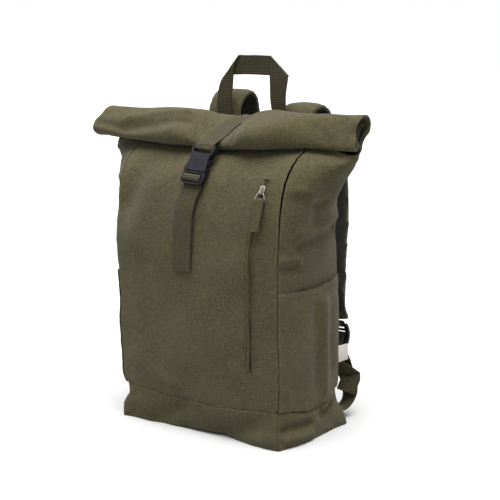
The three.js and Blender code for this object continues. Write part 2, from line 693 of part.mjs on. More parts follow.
// The upper half of the buckle: a flat box with side windows, a mouth below and a bar above for the strap.
function buckleSocket() {
  const [top, bottom] = [BUCKLE_LENGTH, BUCKLE_LENGTH - SOCKET_LENGTH];
  const [half, waist] = [BUCKLE_WIDTH / 2, BUCKLE_WAIST / 2];
  const outline = mirrored([
    [0, top - 3],
    [half - 6, top - 2],
    [half - 1, top],
    [half, top - 3],
    [half - 0.6, top - 10],
    [waist + 0.6, top - 16],
    [waist, top - 23],
    [waist + 0.8, top - 29],
    [half - 0.8, top - 34],
    [half - 1, bottom],
    [0, bottom],
  ].reverse());
  const slotTop = top - 3 - PLUG_BAR;
  const slot = mirrored([
    [0, slotTop - BUCKLE_SLOT - 2.4],
    [STRAP_WIDTH / 4, slotTop - BUCKLE_SLOT - 1.7],
    [STRAP_WIDTH / 2 + 0.4, slotTop - BUCKLE_SLOT - 0.4],
    [STRAP_WIDTH / 2 + 0.4, slotTop],
    [0, slotTop],
  ]);
  const mouth = rectangle(BUCKLE_WAIST - 4, SOCKET_LENGTH - 16, 0, bottom + (SOCKET_LENGTH - 16) / 2 - 1);
  const window = rectangle(5, 15.6, 0, top - 23.3);
  const [low, high] = [-SOCKET_THICKNESS / 2, SOCKET_THICKNESS / 2];
  const cavity = PLUG_THICKNESS / 2 - 0.3;
  let made = solid(plate(buckleFrame, outline, [slot], low, high));
  made = made.subtract(solid(plate(buckleFrame, mouth, [], -cavity, cavity)));
  const wrap = rectangle(STRAP_WIDTH + 0.8, 3 * PLUG_BAR, 0, slotTop + PLUG_BAR);
  for (const side of [-1, 1]) {
    const faces = [(side * SOCKET_BAR_THICKNESS) / 2, side * SOCKET_THICKNESS];
    made = made.subtract(solid(plate(buckleFrame, wrap, [], Math.min(...faces), Math.max(...faces))));
    const placed = window.map(([x, y]) => [x + side * (waist - 0.5), y]);
    made = made.subtract(solid(plate(buckleFrame, placed, [], -cavity, cavity)));
  }
  return geometryOf(made);
}

const plugBars = (() => {
  const top = BUCKLE_LENGTH - SOCKET_LENGTH - PIECE_GAP;
  const upperSlot = top - PLUG_BAR - BUCKLE_SLOT / 2;
  return { top, upperSlot, middleBar: upperSlot - BUCKLE_SLOT / 2 - PLUG_BAR / 2 };
})();

// The lower half of the buckle: a frame with two slots for the webbing, and two prongs that spring
// into the socket.
function bucklePlug() {
  const half = BUCKLE_WIDTH / 2;
  const { top, upperSlot } = plugBars;
  const lowerSlot = upperSlot - BUCKLE_SLOT - PLUG_BAR;
  const outline = mirrored([
    [0, 0],
    [half - 5, 0],
    [half - 1, 2.4],
    [half, 6],
    [half - 0.8, top],
    [0, top],
  ]);
  const holes = [upperSlot, lowerSlot].map((l) => rectangle(STRAP_WIDTH + 0.8, BUCKLE_SLOT, 0, l));
  const thin = PLUG_THICKNESS / 2 - 0.8;
  let made = solid(plate(buckleFrame, outline, holes, -PLUG_THICKNESS / 2, PLUG_THICKNESS / 2));
  const reach = BUCKLE_WAIST / 2 - 2.6;
  for (const side of [-1, 1]) {
    const prong = [
      [reach - 3.4, top - 1],
      [reach, top - 1],
      [reach, top + 7.2],
      [reach + 3.2, top + 9.6],
      [reach + 3.6, top + 14],
      [reach + 2.4, top + 19],
      [reach - 1, top + 21],
      [reach - 3, top + 20],
    ].map(([x, y]) => [side * x, y]);
    made = made.add(solid(plate(buckleFrame, side > 0 ? prong : prong.reverse(), [], -thin, thin)));
  }
  made = made.add(solid(plate(buckleFrame, rectangle(3, 16, 0, top + 7), [], -thin, thin)));
  return geometryOf(made);
}

// The strap over the roll: sewn down the back, over the top, down the front, round the socket's bar
// and back up.
function closureStrap() {
  const lift = PIECE_GAP + STRAP_THICKNESS / 2;
  const backOf = (height) => section(riseAt(height, "back")).back.y + lift;
  const points = [STRAP_ROOT_LENGTH, 0.4 * STRAP_ROOT_LENGTH].map(
    (down) => new THREE.Vector3(STRAP_X, backOf(BACK_HEIGHT - down), BACK_HEIGHT - down),
  );
  for (let i = 0; i <= 12; i++) points.push(overRoll(0.03 + (0.39 * i) / 12, lift + PIECE_GAP));
  const barTop = BUCKLE_LENGTH - 3;
  const barFoot = barTop - PLUG_BAR;
  const half = SOCKET_BAR_THICKNESS / 2;
  const bar = [
    [barTop, half],
    [barFoot, half],
    [barFoot, -half],
    [barTop, -half],
  ];
  const [, onFront, ...wrap] = roundCorners(bar, lift + PIECE_GAP).slice(1, -2);
  const ends = { before: [barTop + 3.4, half + lift + 0.9], after: [barTop + 3, -half - lift] };
  for (const [l, n] of [ends.before, onFront, ...wrap, ends.after]) points.push(buckleFrame.place(0, l, n));
  const across = (t) => acrossBuckle(THREE.MathUtils.smoothstep(t, 0.5, 0.65));
  return strip(points, STRAP_WIDTH, STRAP_THICKNESS, across, 1);
}

// The front webbing: sewn to the front panel, up behind the plug, over its middle bar and down
// again to a free end.
function frontWebbing() {
  const lift = PIECE_GAP + STRAP_THICKNESS / 2;
  const tailLift = lift + STRAP_THICKNESS + 0.7;
  const onPanel = (height, distance) => {
    const share = (height - TAIL_END_HEIGHT) / (BUCKLE_FOOT - TAIL_END_HEIGHT);
    const x = THREE.MathUtils.lerp(TAIL_END_X, BUCKLE_X, share ** 5);
    const out = normalOf(frontSurface, x, height, 1, 1);
    return frontSurface(x, height).addScaledVector(out, distance);
  };
  const { middleBar, upperSlot } = plugBars;
  const back = -PLUG_THICKNESS / 2 - lift;
  const front = PLUG_THICKNESS / 2 + lift;
  const points = [
    onPanel(ANCHOR_HEIGHT, lift),
    onPanel(ANCHOR_HEIGHT + 24, lift),
    onPanel(ANCHOR_HEIGHT + 50, lift + 0.1),
    onPanel(ANCHOR_HEIGHT + 70, lift + 0.5),
    buckleFrame.place(0, -4, back - STRAP_THICKNESS - 2),
    buckleFrame.place(0, 2, back - STRAP_THICKNESS - 1.7),
    buckleFrame.place(0, middleBar, back - 1.8),
    buckleFrame.place(0, upperSlot - 0.2, back - 0.4),
    buckleFrame.place(0, upperSlot + 0.4, 0),
    buckleFrame.place(0, upperSlot - 0.2, front - 0.2),
    buckleFrame.place(0, middleBar, front + 0.6),
    buckleFrame.place(0, middleBar - 3.1, front - 0.2),
    buckleFrame.place(0, middleBar - 4.1, 0),
    buckleFrame.place(0, middleBar - 4.6, back + 1),
    buckleFrame.place(0, middleBar - 7.2, back - 1),
    buckleFrame.place(0, -2.8, back - 0.9),
    onPanel(ANCHOR_HEIGHT + 68, tailLift + 1.6),
    onPanel(ANCHOR_HEIGHT + 50, tailLift + 1.4),
    onPanel(ANCHOR_HEIGHT + 24, tailLift + 0.8),
    onPanel(ANCHOR_HEIGHT, tailLift + 0.4),
    onPanel(TAIL_END_HEIGHT, tailLift),
  ];
  const across = (t) =>
    acrossBuckle(THREE.MathUtils.smoothstep(t, 0.1, 0.22) * (1 - THREE.MathUtils.smoothstep(t, 0.72, 0.85)));
  return strip(points, STRAP_WIDTH, STRAP_THICKNESS, across);
}

// The carry handle: two legs and a crosspiece of flat webbing, folded on the diagonal at each corner.
function handle() {
  const backFace = section(riseAt(BACK_HEIGHT - HANDLE_ROOT_DEPTH, "back")).back.y;
  const origin = new THREE.Vector3(HANDLE_X, backFace + PIECE_GAP, BACK_HEIGHT - HANDLE_ROOT_DEPTH);
  const frame = frameAt(origin, new THREE.Vector3(0, 0, 1), new THREE.Vector3(0, -1, 0));
  const half = HANDLE_WIDTH / 2;
  const [legFront, legBack] = [0, -NARROW_THICKNESS];
  const crossBack = 2 * legBack - PIECE_GAP;
  const left = ({ left, leftUp }) => [half * left, HANDLE_RISE * leftUp];
  const right = ({ right, rightUp }) => [half * right, HANDLE_RISE * rightUp];
  const pieces = [];
  for (const leg of [LEFT_LEG, RIGHT_LEG]) {
    const outline = [...leg.map(right), ...leg.map(left).reverse()];
    pieces.push(plate(frame, outline, [], legBack, legFront));
    const [a, b] = [left(leg.at(-1)), right(leg.at(-1))];
    const inward = ([x, y]) => [x - Math.sign(x) * HANDLE_EDGE * 0.7, y - HANDLE_EDGE * 0.7];
    pieces.push(plate(frame, [inward(a), inward(b), b, a], [], crossBack, legFront));
  }
  const [topLeft, lowLeft] = [right(LEFT_LEG.at(-1)), left(LEFT_LEG.at(-1))];
  const [topRight, lowRight] = [left(RIGHT_LEG.at(-1)), right(RIGHT_LEG.at(-1))];
  pieces.push(plate(frame, [lowLeft, lowRight, topRight, topLeft], [], crossBack, legBack - PIECE_GAP));
  return geometryOf(pieces.map(solid).reduce((made, piece) => made.add(piece)));
}

// One padded shoulder strap: a flat oval section swept along its route. side is 1 for the right and
// -1 for the left.
function shoulderStrap(side) {
  const drop = side > 0 ? PAD_PEAK_DROP / (PAD_PEAK - BACK_HEIGHT) : 0;
  const points = PAD_ROUTE.map(
    ({ out, back, up }) =>
      new THREE.Vector3(side * (PAD_SPACING / 2 + out), back, up - drop * Math.max(0, up - BACK_HEIGHT)),
  );
  const line = new THREE.CatmullRomCurve3(points, false, "centripetal");
  const [nu, nv] = [10, 24];
  const surface = (u, v) => {
    const t = THREE.MathUtils.clamp(v, 0, 1);
    const tangent = line.getTangent(t);
    const width = THREE.MathUtils.lerp(PAD_WIDTH, PAD_END_WIDTH, THREE.MathUtils.smoothstep(t, 0.75, 1));
    const out = X_AXIS.clone().cross(tangent).normalize();
    const across = tangent.clone().cross(out).normalize();
    const angle = 2 * Math.PI * u;
    const square = (c) => Math.sign(c) * Math.abs(c) ** 0.5;
    return line
      .getPoint(t)
      .addScaledVector(across, (square(Math.cos(angle)) * width) / 2)
      .addScaledVector(out, (square(Math.sin(angle)) * PAD_THICKNESS) / 2);
  };
  return sweep(surface, nu, nv);
}

// A closed sweep: rings of surface(u, v), with a flat cap at each end.
function sweep(surface, nu, nv) {
  const positions = [];
  const index = [];
  for (let j = 0; j <= nv; j++) {
    for (let i = 0; i < nu; i++) positions.push(...surface((i + 0.5) / nu, j / nv).toArray());
  }
  const place = (i, j) => j * nu + (i % nu);
  for (let j = 0; j < nv; j++) {
    for (let i = 0; i < nu; i++) {
      index.push(place(i, j), place(i + 1, j), place(i + 1, j + 1));
      index.push(place(i, j), place(i + 1, j + 1), place(i, j + 1));
    }
  }
  for (let i = 1; i < nu - 1; i++) {
    index.push(place(0, 0), place(i + 1, 0), place(i, 0));
    index.push(place(0, nv), place(i, nv), place(i + 1, nv));
  }
  const geometry = new THREE.BufferGeometry();
  geometry.setAttribute("position", new THREE.Float32BufferAttribute(positions, 3));
  geometry.setIndex(index);
  return geometryOf(solid(geometry));
}

// The frame of one ladder lock, which hangs just under its shoulder strap's end. Its origin is the
// lock's top edge.
function lockFrame(side) {
  const [before, end] = PAD_ROUTE.slice(-2);
  const foot = new THREE.Vector3(side * (PAD_SPACING / 2 + end.out), end.back, end.up);
  const along = new THREE.Vector3(0, before.back - end.back, before.up - end.up).normalize();
  const out = X_AXIS.clone().cross(along).normalize().negate();
  return frameAt(foot.addScaledVector(along, -LOCK_DROP), along, out);
}

// How far the lock's own curve stands out at a distance down from its top edge.
function lockBow(down) {
  return LOCK_BOW * (1 - (1 - (2 * down) / LOCK_LENGTH) ** 2);
}

// The middles of the lock's three slots, down from its top edge.
const LOCK_SLOTS = [0, 1, 2].map((i) => LOCK_BAR + LOCK_SLOT / 2 + i * (LOCK_SLOT + LOCK_BAR));

function ladderLock(side) {
  const frame = lockFrame(side);
  const downs = [0, 0.2, 0.4, 0.6, 0.8, 1].map((share) => share * LOCK_LENGTH);
  const profile = [
    ...downs.map((down) => [-down, lockBow(down) + LOCK_THICKNESS / 2]),
    ...downs.map((down) => [-down, lockBow(down) - LOCK_THICKNESS / 2]).reverse(),
  ].reverse();
  const sideways = { matrix: frame.matrix.clone().multiply(TURNED) };
  let made = solid(plate(sideways, profile, [], -LOCK_WIDTH / 2, LOCK_WIDTH / 2));
  for (const down of LOCK_SLOTS) {
    const slot = rectangle(NARROW_WIDTH + 1, LOCK_SLOT, 0, -down);
    made = made.subtract(solid(plate(frame, slot, [], -LOCK_THICKNESS, LOCK_BOW + LOCK_THICKNESS)));
  }
  return geometryOf(made);
}

// A webbing strip from lists of places and turns, with its width kept square to its own line.
function turnedStrip(places, side) {
  const line = new THREE.CatmullRomCurve3(places.map(({ point }) => point), false, "centripetal");
  const turnAt = (t) => {
    const at = THREE.MathUtils.clamp(t, 0, 1) * (places.length - 1);
    const i = Math.min(Math.floor(at), places.length - 2);
    return THREE.MathUtils.lerp(places[i].turn, places[i + 1].turn, at - i);
  };
  const widthAt = (t) => {
    const turn = THREE.MathUtils.degToRad(turnAt(t));
    const tangent = line.getTangent(t);
    const width = new THREE.Vector3(side * Math.cos(turn), Math.sin(turn), 0);
    return width.addScaledVector(tangent, -width.dot(tangent)).normalize().multiplyScalar(side);
  };
  return strip(places.map(({ point }) => point), NARROW_WIDTH, NARROW_THICKNESS, widthAt);
}

// The short webbing loop that is sewn to the shoulder strap's end and holds the lock's top bar.
function lockLoop(side) {
  const frame = lockFrame(side);
  const [half, foot] = [LOCK_THICKNESS / 2, lockBow(LOCK_BAR)];
  const bar = [
    [0, half],
    [-LOCK_BAR, foot + half],
    [-LOCK_BAR, foot - half],
    [0, -half],
  ];
  const wrap = roundCorners(bar, PIECE_GAP + NARROW_THICKNESS / 2 + 0.1).slice(1, -1);
  const [end, leg] = [LOCK_DROP - LOOP_DROP, NARROW_THICKNESS / 2 + PIECE_GAP];
  const line = [[end, leg], ...wrap, [end, -leg]].map(([l, n]) => frame.place(0, l, n));
  return strip(line, NARROW_WIDTH, NARROW_THICKNESS, acrossBag, 1);
}

// The adjusting webbing: from the base corner in a slack curve up to the lock, round its bar and
// down to a free end.
function adjusterWebbing(side) {
  const frame = lockFrame(side);
  const reach = LOCK_THICKNESS / 2 + 2 * PIECE_GAP + NARROW_THICKNESS / 2;
  const [, middleSlot, lowerSlot] = LOCK_SLOTS;
  const bar = (middleSlot + lowerSlot) / 2;
  const routed = (rows) =>
    rows.map(({ out, back, up, turn }) => ({ point: new THREE.Vector3(side * out, back, up), turn }));
  const wrapped = [
    [LOCK_LENGTH + 4, reach - 0.6],
    [LOCK_LENGTH - 1.5, reach + lockBow(LOCK_LENGTH - 1.5)],
    [lowerSlot, reach + 0.2 + lockBow(lowerSlot)],
    [bar, reach + lockBow(bar)],
    [middleSlot + 1, reach - 0.8 + lockBow(bar)],
    [middleSlot - 0.1, lockBow(bar)],
    [middleSlot + 1, -reach + 0.8 + lockBow(bar)],
    [bar, -reach + lockBow(bar)],
    [lowerSlot + 1, -reach + lockBow(lowerSlot) - 0.4],
    [LOCK_LENGTH, -reach - 1],
  ].map(([down, n]) => ({ point: frame.place(0, -down, n), turn: 0 }));
  return turnedStrip([...routed(SLACK_ROUTE), ...wrapped, ...routed(FREE_END_ROUTE)], side);
}

// The zip slider's frame, its origin on the cloth, with the pull's pivot under the slider's bridge.
const sliderFrame = (() => {
  const height = ZIP_HIGH - 13;
  const origin = zipSurface(0, height);
  const along = zipSurface(0, height + 4).sub(zipSurface(0, height - 12));
  along.x = 0;
  along.normalize();
  return frameAt(origin, along, X_AXIS.clone().cross(along).normalize());
})();
const PIVOT_ALONG = -1.4;
const PIVOT_OUT = 4.2;

function zipSlider() {
  const top = 2.8;
  const low = top - 2.2;
  const end = 6.4 - SLIDER_LENGTH;
  const plateOutline = [
    [-SLIDER_WIDTH / 2 + 1.6, end],
    [SLIDER_WIDTH / 2 - 1.6, end],
    [SLIDER_WIDTH / 2, 0.5],
    [SLIDER_WIDTH / 2, 4.4],
    [SLIDER_WIDTH / 2 - 2, 6.4],
    [-SLIDER_WIDTH / 2 + 2, 6.4],
    [-SLIDER_WIDTH / 2, 4.4],
    [-SLIDER_WIDTH / 2, 0.5],
  ];
  const base = solid(plate(sliderFrame, plateOutline, [], low, top));
  const bridgeFrame = { matrix: sliderFrame.matrix.clone().multiply(TURNED) };
  const bridge = [
    [-4.2, top - 0.4],
    [4.6, top - 0.4],
    [4.2, PIVOT_OUT + 1.2],
    [2.6, PIVOT_OUT + 2.2],
    [-2.6, PIVOT_OUT + 2.2],
    [-4, PIVOT_OUT + 1.2],
  ];
  const window = rectangle(3.2, 2.6, PIVOT_ALONG + 0.1, PIVOT_OUT);
  return geometryOf(base.add(solid(plate(bridgeFrame, bridge, [window], -1.1, 1.1))));
}

// The metal ring that turns under the slider's bridge.
function zipRing() {
  const pivot = (points) => points.map(([x, y]) => [x, y + PIVOT_ALONG - 0.4]);
  const outer = pivot(mirrored([[0, 1], [3.6, 1], [7.9, -8.5], [7.9, -11], [0, -11]].reverse()));
  const inner = pivot(mirrored([[0, -0.2], [2.4, -0.2], [6.7, -8.6], [6.7, -9.8], [0, -9.8]].reverse()));
  return plate(sliderFrame, outer, [inner], PIVOT_OUT - 0.6, PIVOT_OUT + 0.6);
}

// The cloth puller: a folded strip that hangs from the ring's lower bar.
function zipPuller() {
  const barAt = PIVOT_ALONG - 0.4 - 10.4;
  const sideFrame = { matrix: sliderFrame.matrix.clone().multiply(TURNED) };
  const outline = [
    [barAt + 2, PIVOT_OUT - 1],
    [barAt + 2, PIVOT_OUT + 1],
    [barAt + 1, PIVOT_OUT + 1.9],
    [barAt - 2, PIVOT_OUT + 1.9],
    [barAt - 4, PIVOT_OUT + 1.2],
    [barAt - PULLER_LENGTH, PIVOT_OUT + 1.2],
    [barAt - PULLER_LENGTH, PIVOT_OUT - 1.2],
    [barAt - 4, PIVOT_OUT - 1.2],
    [barAt - 2, PIVOT_OUT - 1.9],
    [barAt + 1, PIVOT_OUT - 1.9],
  ];
  const hole = rectangle(2.2, 2.2, barAt, PIVOT_OUT);
  return plate(sideFrame, outline, [hole], -PULLER_WIDTH / 2, PULLER_WIDTH / 2);
}

// A blank woven label, folded in two and sewn into the right-hand seam of the back.
function seamLabel() {
  const middle = LABEL_LOW + LABEL_HEIGHT / 2;
  const seam = section(riseAt(middle, "back")).back;
  const geometry = new THREE.BoxGeometry(1.2, LABEL_WIDTH, LABEL_HEIGHT);
  geometry.translate(seam.x, seam.y + CANVAS / 2 + LABEL_SEAT + LABEL_WIDTH / 2, middle);
  return geometry;
}

add("base_tray", baseTray(), canvasColour);
add("front_panel", frontPanel(), canvasColour);
add("side_panel_right", bodyPanel(1, 0.32 * BAG_DEPTH, 17), canvasColour);
add("back_panel", bodyPanel(2, BAG_WIDTH, 17), canvasColour);
add("side_panel_left", bodyPanel(3, 0.32 * BAG_DEPTH, 17), canvasColour);
add("side_pocket_right", sidePocket(1), canvasColour);
add("side_pocket_left", sidePocket(3), canvasColour);
add("roll_top", rollTop(), canvasColour);
add("closure_strap", closureStrap(), webbingColour);
add("buckle_socket", buckleSocket(), plasticColour);
add("buckle_plug", bucklePlug(), plasticColour);
add("front_webbing", frontWebbing(), webbingColour);
add("carry_handle", handle(), webbingColour);
for (const [side, word] of [[1, "right"], [-1, "left"]]) {
  add("shoulder_strap_" + word, shoulderStrap(side), canvasColour);
  add("lock_loop_" + word, lockLoop(side), webbingColour);
  add("ladder_lock_" + word, ladderLock(side), plasticColour);
  add("adjuster_webbing_" + word, adjusterWebbing(side), webbingColour);
}
const tapeFace = -CANVAS - 2 * PIECE_GAP;
const tapeBack = tapeFace - ZIP_TAPE;
add("zip_tape", zipStrip(ZIP_TAPE_WIDTH, ZIP_LOW - 4, ZIP_HIGH + 3, tapeFace, tapeBack, 16), zipColour);
const coilFoot = tapeFace + 1.5 * PIECE_GAP;
const coilTop = coilFoot + ZIP_COIL;
add("zip_coil", zipStrip(ZIP_COIL_WIDTH, ZIP_LOW + 1, ZIP_HIGH - 1, coilTop, coilFoot, 16), zipColour);
add("zip_slider", zipSlider(), metalColour);
add("zip_ring", zipRing(), metalColour);
add("zip_puller", zipPuller(), canvasColour);
add("seam_label", seamLabel(), labelColour);

export default backpack;
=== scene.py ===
"""Looks of a canvas rolltop backpack, built round its packed construction model.

The bag stands on its base with its front towards -Y. Lengths are metres, and every piece is made in
place in the frame of the construction model. Cloth pieces start from copies of the frame's solids,
are subdivided, draped by one field of folds that all of them share, and then sewn with real stitches.
"""

import logging
import math
from dataclasses import dataclass, field
from enum import Enum
from typing import Any, Callable, ClassVar, Iterable, Sequence

import bmesh
import bpy
from mathutils import Matrix, Vector, noise
from mathutils.bvhtree import BVHTree
from mathutils.kdtree import KDTree


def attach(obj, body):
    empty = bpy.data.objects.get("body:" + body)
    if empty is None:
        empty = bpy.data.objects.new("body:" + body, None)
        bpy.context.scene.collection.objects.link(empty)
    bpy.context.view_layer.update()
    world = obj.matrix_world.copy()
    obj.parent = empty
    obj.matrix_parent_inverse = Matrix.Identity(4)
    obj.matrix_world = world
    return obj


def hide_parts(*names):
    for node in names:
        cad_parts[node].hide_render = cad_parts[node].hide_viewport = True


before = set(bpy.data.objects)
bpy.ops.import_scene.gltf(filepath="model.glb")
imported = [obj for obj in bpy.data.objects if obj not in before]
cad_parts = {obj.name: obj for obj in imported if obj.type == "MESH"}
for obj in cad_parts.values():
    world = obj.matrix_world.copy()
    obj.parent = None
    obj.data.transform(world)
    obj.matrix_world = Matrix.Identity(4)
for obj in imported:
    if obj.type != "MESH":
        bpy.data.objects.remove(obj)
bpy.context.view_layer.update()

LOG = logging.getLogger("backpack")
MM = 0.001
NOISE_SEED = 7
Colour = tuple[float, float, float]
FoldRow = tuple[float, float, float, float, float, float, float, float, float, float]


class Body(Enum):
    """The two rigid bodies that pieces ride on."""

    BAG = "bag"
    ZIP_PULL = "zip_pull"


class Slot(Enum):
    """The record's material slots."""

    CANVAS = "canvas"
    WEBBING = "webbing"
    PLASTIC = "plastic"
    METAL = "metal"
    ZIP = "zip"
    LABEL = "label"


class Hold(Enum):
    """How a sheet of cloth is held."""

    STRETCHED = "stretched"
    FOLDED = "folded"


class Signal:
    """A number that changes over a surface. Arithmetic on it adds Math nodes to its shader."""

    def __init__(self, shader: "Shader", socket: bpy.types.NodeSocket) -> None:
        """Keeps the shader and the socket that carries the number."""
        self.shader = shader
        self.socket = socket

    def _math(self, operation: str, *values: Any) -> "Signal":
        """Adds one Math node over the values and returns what it gives."""
        made = self.shader.node("ShaderNodeMath", {"operation": operation}, dict(enumerate(values)))
        return Signal(self.shader, made.outputs[0])

    def __add__(self, other: Any) -> "Signal":
        """Sum with a number or a signal."""
        return self._math("ADD", self, other)

    def __sub__(self, other: Any) -> "Signal":
        """Difference from a number or a signal."""
        return self._math("SUBTRACT", self, other)

    def __mul__(self, other: Any) -> "Signal":
        """Product with a number or a signal."""
        return self._math("MULTIPLY", self, other)

    def sine(self) -> "Signal":
        """The sine of the signal, in radians."""
        return self._math("SINE", self)

    def ease(self, low: float, high: float) -> "Signal":
        """A smooth step from 0 to 1 as the signal goes from a low value to a high one."""
        settings = {"interpolation_type": "SMOOTHSTEP"}
        made = self.shader.node("ShaderNodeMapRange", settings, {0: self, 1: low, 2: high})
        return Signal(self.shader, made.outputs[0])


class Shader:
    """The node tree of one finish."""

    def __init__(self, name: str) -> None:
        """Starts an empty node tree in a new material."""
        self.material = bpy.data.materials.new(name)
        self.material.use_nodes = True
        self.tree = self.material.node_tree
        self.tree.nodes.clear()

    def node(self, kind: str, settings: dict[str, Any], inputs: dict[Any, Any]) -> bpy.types.Node:
        """Adds one node.

        Args:
            kind: The node's type.
            settings: Its own settings, which are set before its sockets.
            inputs: A value, a signal or a socket for each input that is set, by name or number.

        Returns:
            The new node.
        """
        made = self.tree.nodes.new(kind)
        for name, value in settings.items():
            setattr(made, name, value)
        for key, value in inputs.items():
            if isinstance(value, Signal):
                value = value.socket
            if isinstance(value, bpy.types.NodeSocket):
                self.tree.links.new(value, made.inputs[key])
            else:
                made.inputs[key].default_value = value
        return made

    def weave_axes(self) -> tuple[Signal, Signal]:
        """The cloth's own two directions, in metres along the weft and the warp."""
        uv = self.node("ShaderNodeUVMap", {"uv_map": WEAVE_MAP}, {})
        parts = self.node("ShaderNodeSeparateXYZ", {}, {0: uv.outputs[0]})
        return Signal(self, parts.outputs[0]), Signal(self, parts.outputs[1])

    def stretched(self, u: Any, v: Any) -> bpy.types.NodeSocket:
        """A vector from two signals, for a noise that runs along threads."""
        return self.node("ShaderNodeCombineXYZ", {}, {0: u, 1: v}).outputs[0]

    def place(self) -> bpy.types.NodeSocket:
        """The place on the object, in metres."""
        return self.node("ShaderNodeTexCoord", {}, {}).outputs["Object"]

    def mottle(self, where: bpy.types.NodeSocket, scale: float, detail: float = 3.0) -> Signal:
        """Cloudy noise around one half, at a number of clouds to the metre."""
        inputs = {"Vector": where, "Scale": scale, "Detail": detail}
        return Signal(self, self.node("ShaderNodeTexNoise", {}, inputs).outputs[0])

    def mask(self, name: str) -> Signal:
        """A number that the mesh holds at each of its points."""
        return Signal(self, self.node("ShaderNodeAttribute", {"attribute_name": name}, {}).outputs["Fac"])

    def blend(self, share: Any, low: Any, high: Any) -> bpy.types.NodeSocket:
        """Two colours mixed by a share from 0 to 1.

        Args:
            share: How much of the second colour shows.
            low: The first colour or its socket.
            high: The second colour or its socket.

        Returns:
            The socket of the mixed colour.
        """
        colours = {6: low, 7: high}
        inputs = {0: share, **{k: (*c, 1.0) if isinstance(c, tuple) else c for k, c in colours.items()}}
        settings = {"data_type": "RGBA", "clamp_factor": True}
        return self.node("ShaderNodeMix", settings, inputs).outputs[2]

    def finish(
        self, colour: Any, roughness: Any, height: Signal, relief: float, fixed: dict[str, float]
    ) -> bpy.types.Material:
        """Joins a surface's colour, roughness and relief to its shader.

        Args:
            colour: The socket of its colour.
            roughness: A signal or a number.
            height: The relief, from about 0 to 1.
            relief: How tall a relief of 1 stands, in metres.
            fixed: Values of other sockets.

        Returns:
            The finished material.
        """
        bump = self.node("ShaderNodeBump", {}, {"Strength": 1.0, "Distance": relief, "Height": height})
        inputs = {"Base Color": colour, "Roughness": roughness, "Normal": bump.outputs[0], **fixed}
        surface = self.node("ShaderNodeBsdfPrincipled", {}, inputs)
        self.node("ShaderNodeOutputMaterial", {}, {0: surface.outputs[0]})
        return self.material


WEAVE_MAP = "Weave"
SEAM_MASK = "seam"
LINING_AND_SHADE_MASK = "inner"


@dataclass(frozen=True)
class CanvasFinish:
    """Plain-woven cotton canvas with uneven threads and faded clouds, its seams darkened by dirt and painted
    shade.
    """

    name: str = "olive_canvas"
    deep: Colour = (0.0205, 0.0170, 0.0060)
    pale: Colour = (0.0620, 0.0532, 0.0220)
    # Dirt and painted shade for the seams and the pockets' mouths.
    seam_dirt_and_shade: Colour = (0.006, 0.005, 0.002)
    rubbed: Colour = (0.084, 0.072, 0.034)
    # The straps' dark spacer-mesh lining, also used as painted shade deep in the roll's open ends.
    lining_and_shade: Colour = (0.008, 0.008, 0.006)
    thread: float = 0.9 * MM
    relief: float = 0.30 * MM
    slubs_along: float = 90.0
    slubs_across: float = 800.0
    flecks: float = 430.0
    clouds: float = 14.0

    def material(self) -> bpy.types.Material:
        """Builds the canvas."""
        shader = Shader(self.name)
        u, v = shader.weave_axes()
        place = shader.place()
        turn = math.pi / self.thread
        weave = (u * turn).sine() * (v * turn).sine()
        along, across = self.slubs_along, self.slubs_across
        weft = shader.mottle(shader.stretched(u * along, v * across), 1.0)
        warp = shader.mottle(shader.stretched(u * across, v * along), 1.0)
        slub = weft * 0.55 + warp * 0.45
        fleck = shader.mottle(place, self.flecks, 2.0)
        cloud = shader.mottle(place, self.clouds, 4.0)
        tone = slub * 2.2 + fleck * 1.1 + cloud * 0.5 + weave * 0.08 - 1.44
        seam = shader.mask(SEAM_MASK)
        colour = shader.blend(tone, self.deep, self.pale)
        ridge = seam.ease(0.50, 0.74) - seam.ease(0.74, 0.90)
        colour = shader.blend(ridge * 0.30 * cloud, colour, self.rubbed)
        # Dirt and painted shade darken the seam lines, and painted shade lies round the pockets' mouths.
        colour = shader.blend(seam.ease(0.88, 1.0) * 0.78, colour, self.seam_dirt_and_shade)
        # The straps' dark lining, and painted shade between the layers in the roll's open ends.
        colour = shader.blend(shader.mask(LINING_AND_SHADE_MASK), colour, self.lining_and_shade)
        height = weave * 0.5 + slub * 1.3 + fleck * 0.5
        rough = fleck * 0.12 + 0.84
        gloss = {"Sheen Weight": 0.05, "Specular IOR Level": 0.22}
        return shader.finish(colour, rough, height, self.relief, gloss)


@dataclass(frozen=True)
class WebbingFinish:
    """Coarse woven webbing whose ribs cross on the diagonal."""

    name: str = "olive_webbing"
    deep: Colour = (0.0062, 0.0049, 0.0015)
    pale: Colour = (0.0470, 0.0380, 0.0120)
    rib: float = 2.5 * MM
    relief: float = 0.55 * MM

    def material(self) -> bpy.types.Material:
        """Builds the webbing."""
        shader = Shader(self.name)
        u, v = shader.weave_axes()
        turn = math.pi / self.rib
        checks = ((u + v) * turn).sine() * ((u - v) * turn).sine()
        ribs = (v * (2.0 * turn)).sine()
        fleck = shader.mottle(shader.place(), 600.0, 2.0)
        cloud = shader.mottle(shader.place(), 30.0, 2.0)
        tone = checks * 0.75 + ribs * 0.15 + fleck * 1.3 + cloud * 0.3 - 0.38
        colour = shader.blend(tone, self.deep, self.pale)
        colour = shader.blend(shader.mask(SEAM_MASK) * 0.55, colour, self.deep)
        height = checks * 0.4 + ribs * 0.15 + fleck * 0.3
        gloss = {"Sheen Weight": 0.04, "Specular IOR Level": 0.25}
        return shader.finish(colour, fleck * 0.1 + 0.76, height, self.relief, gloss)


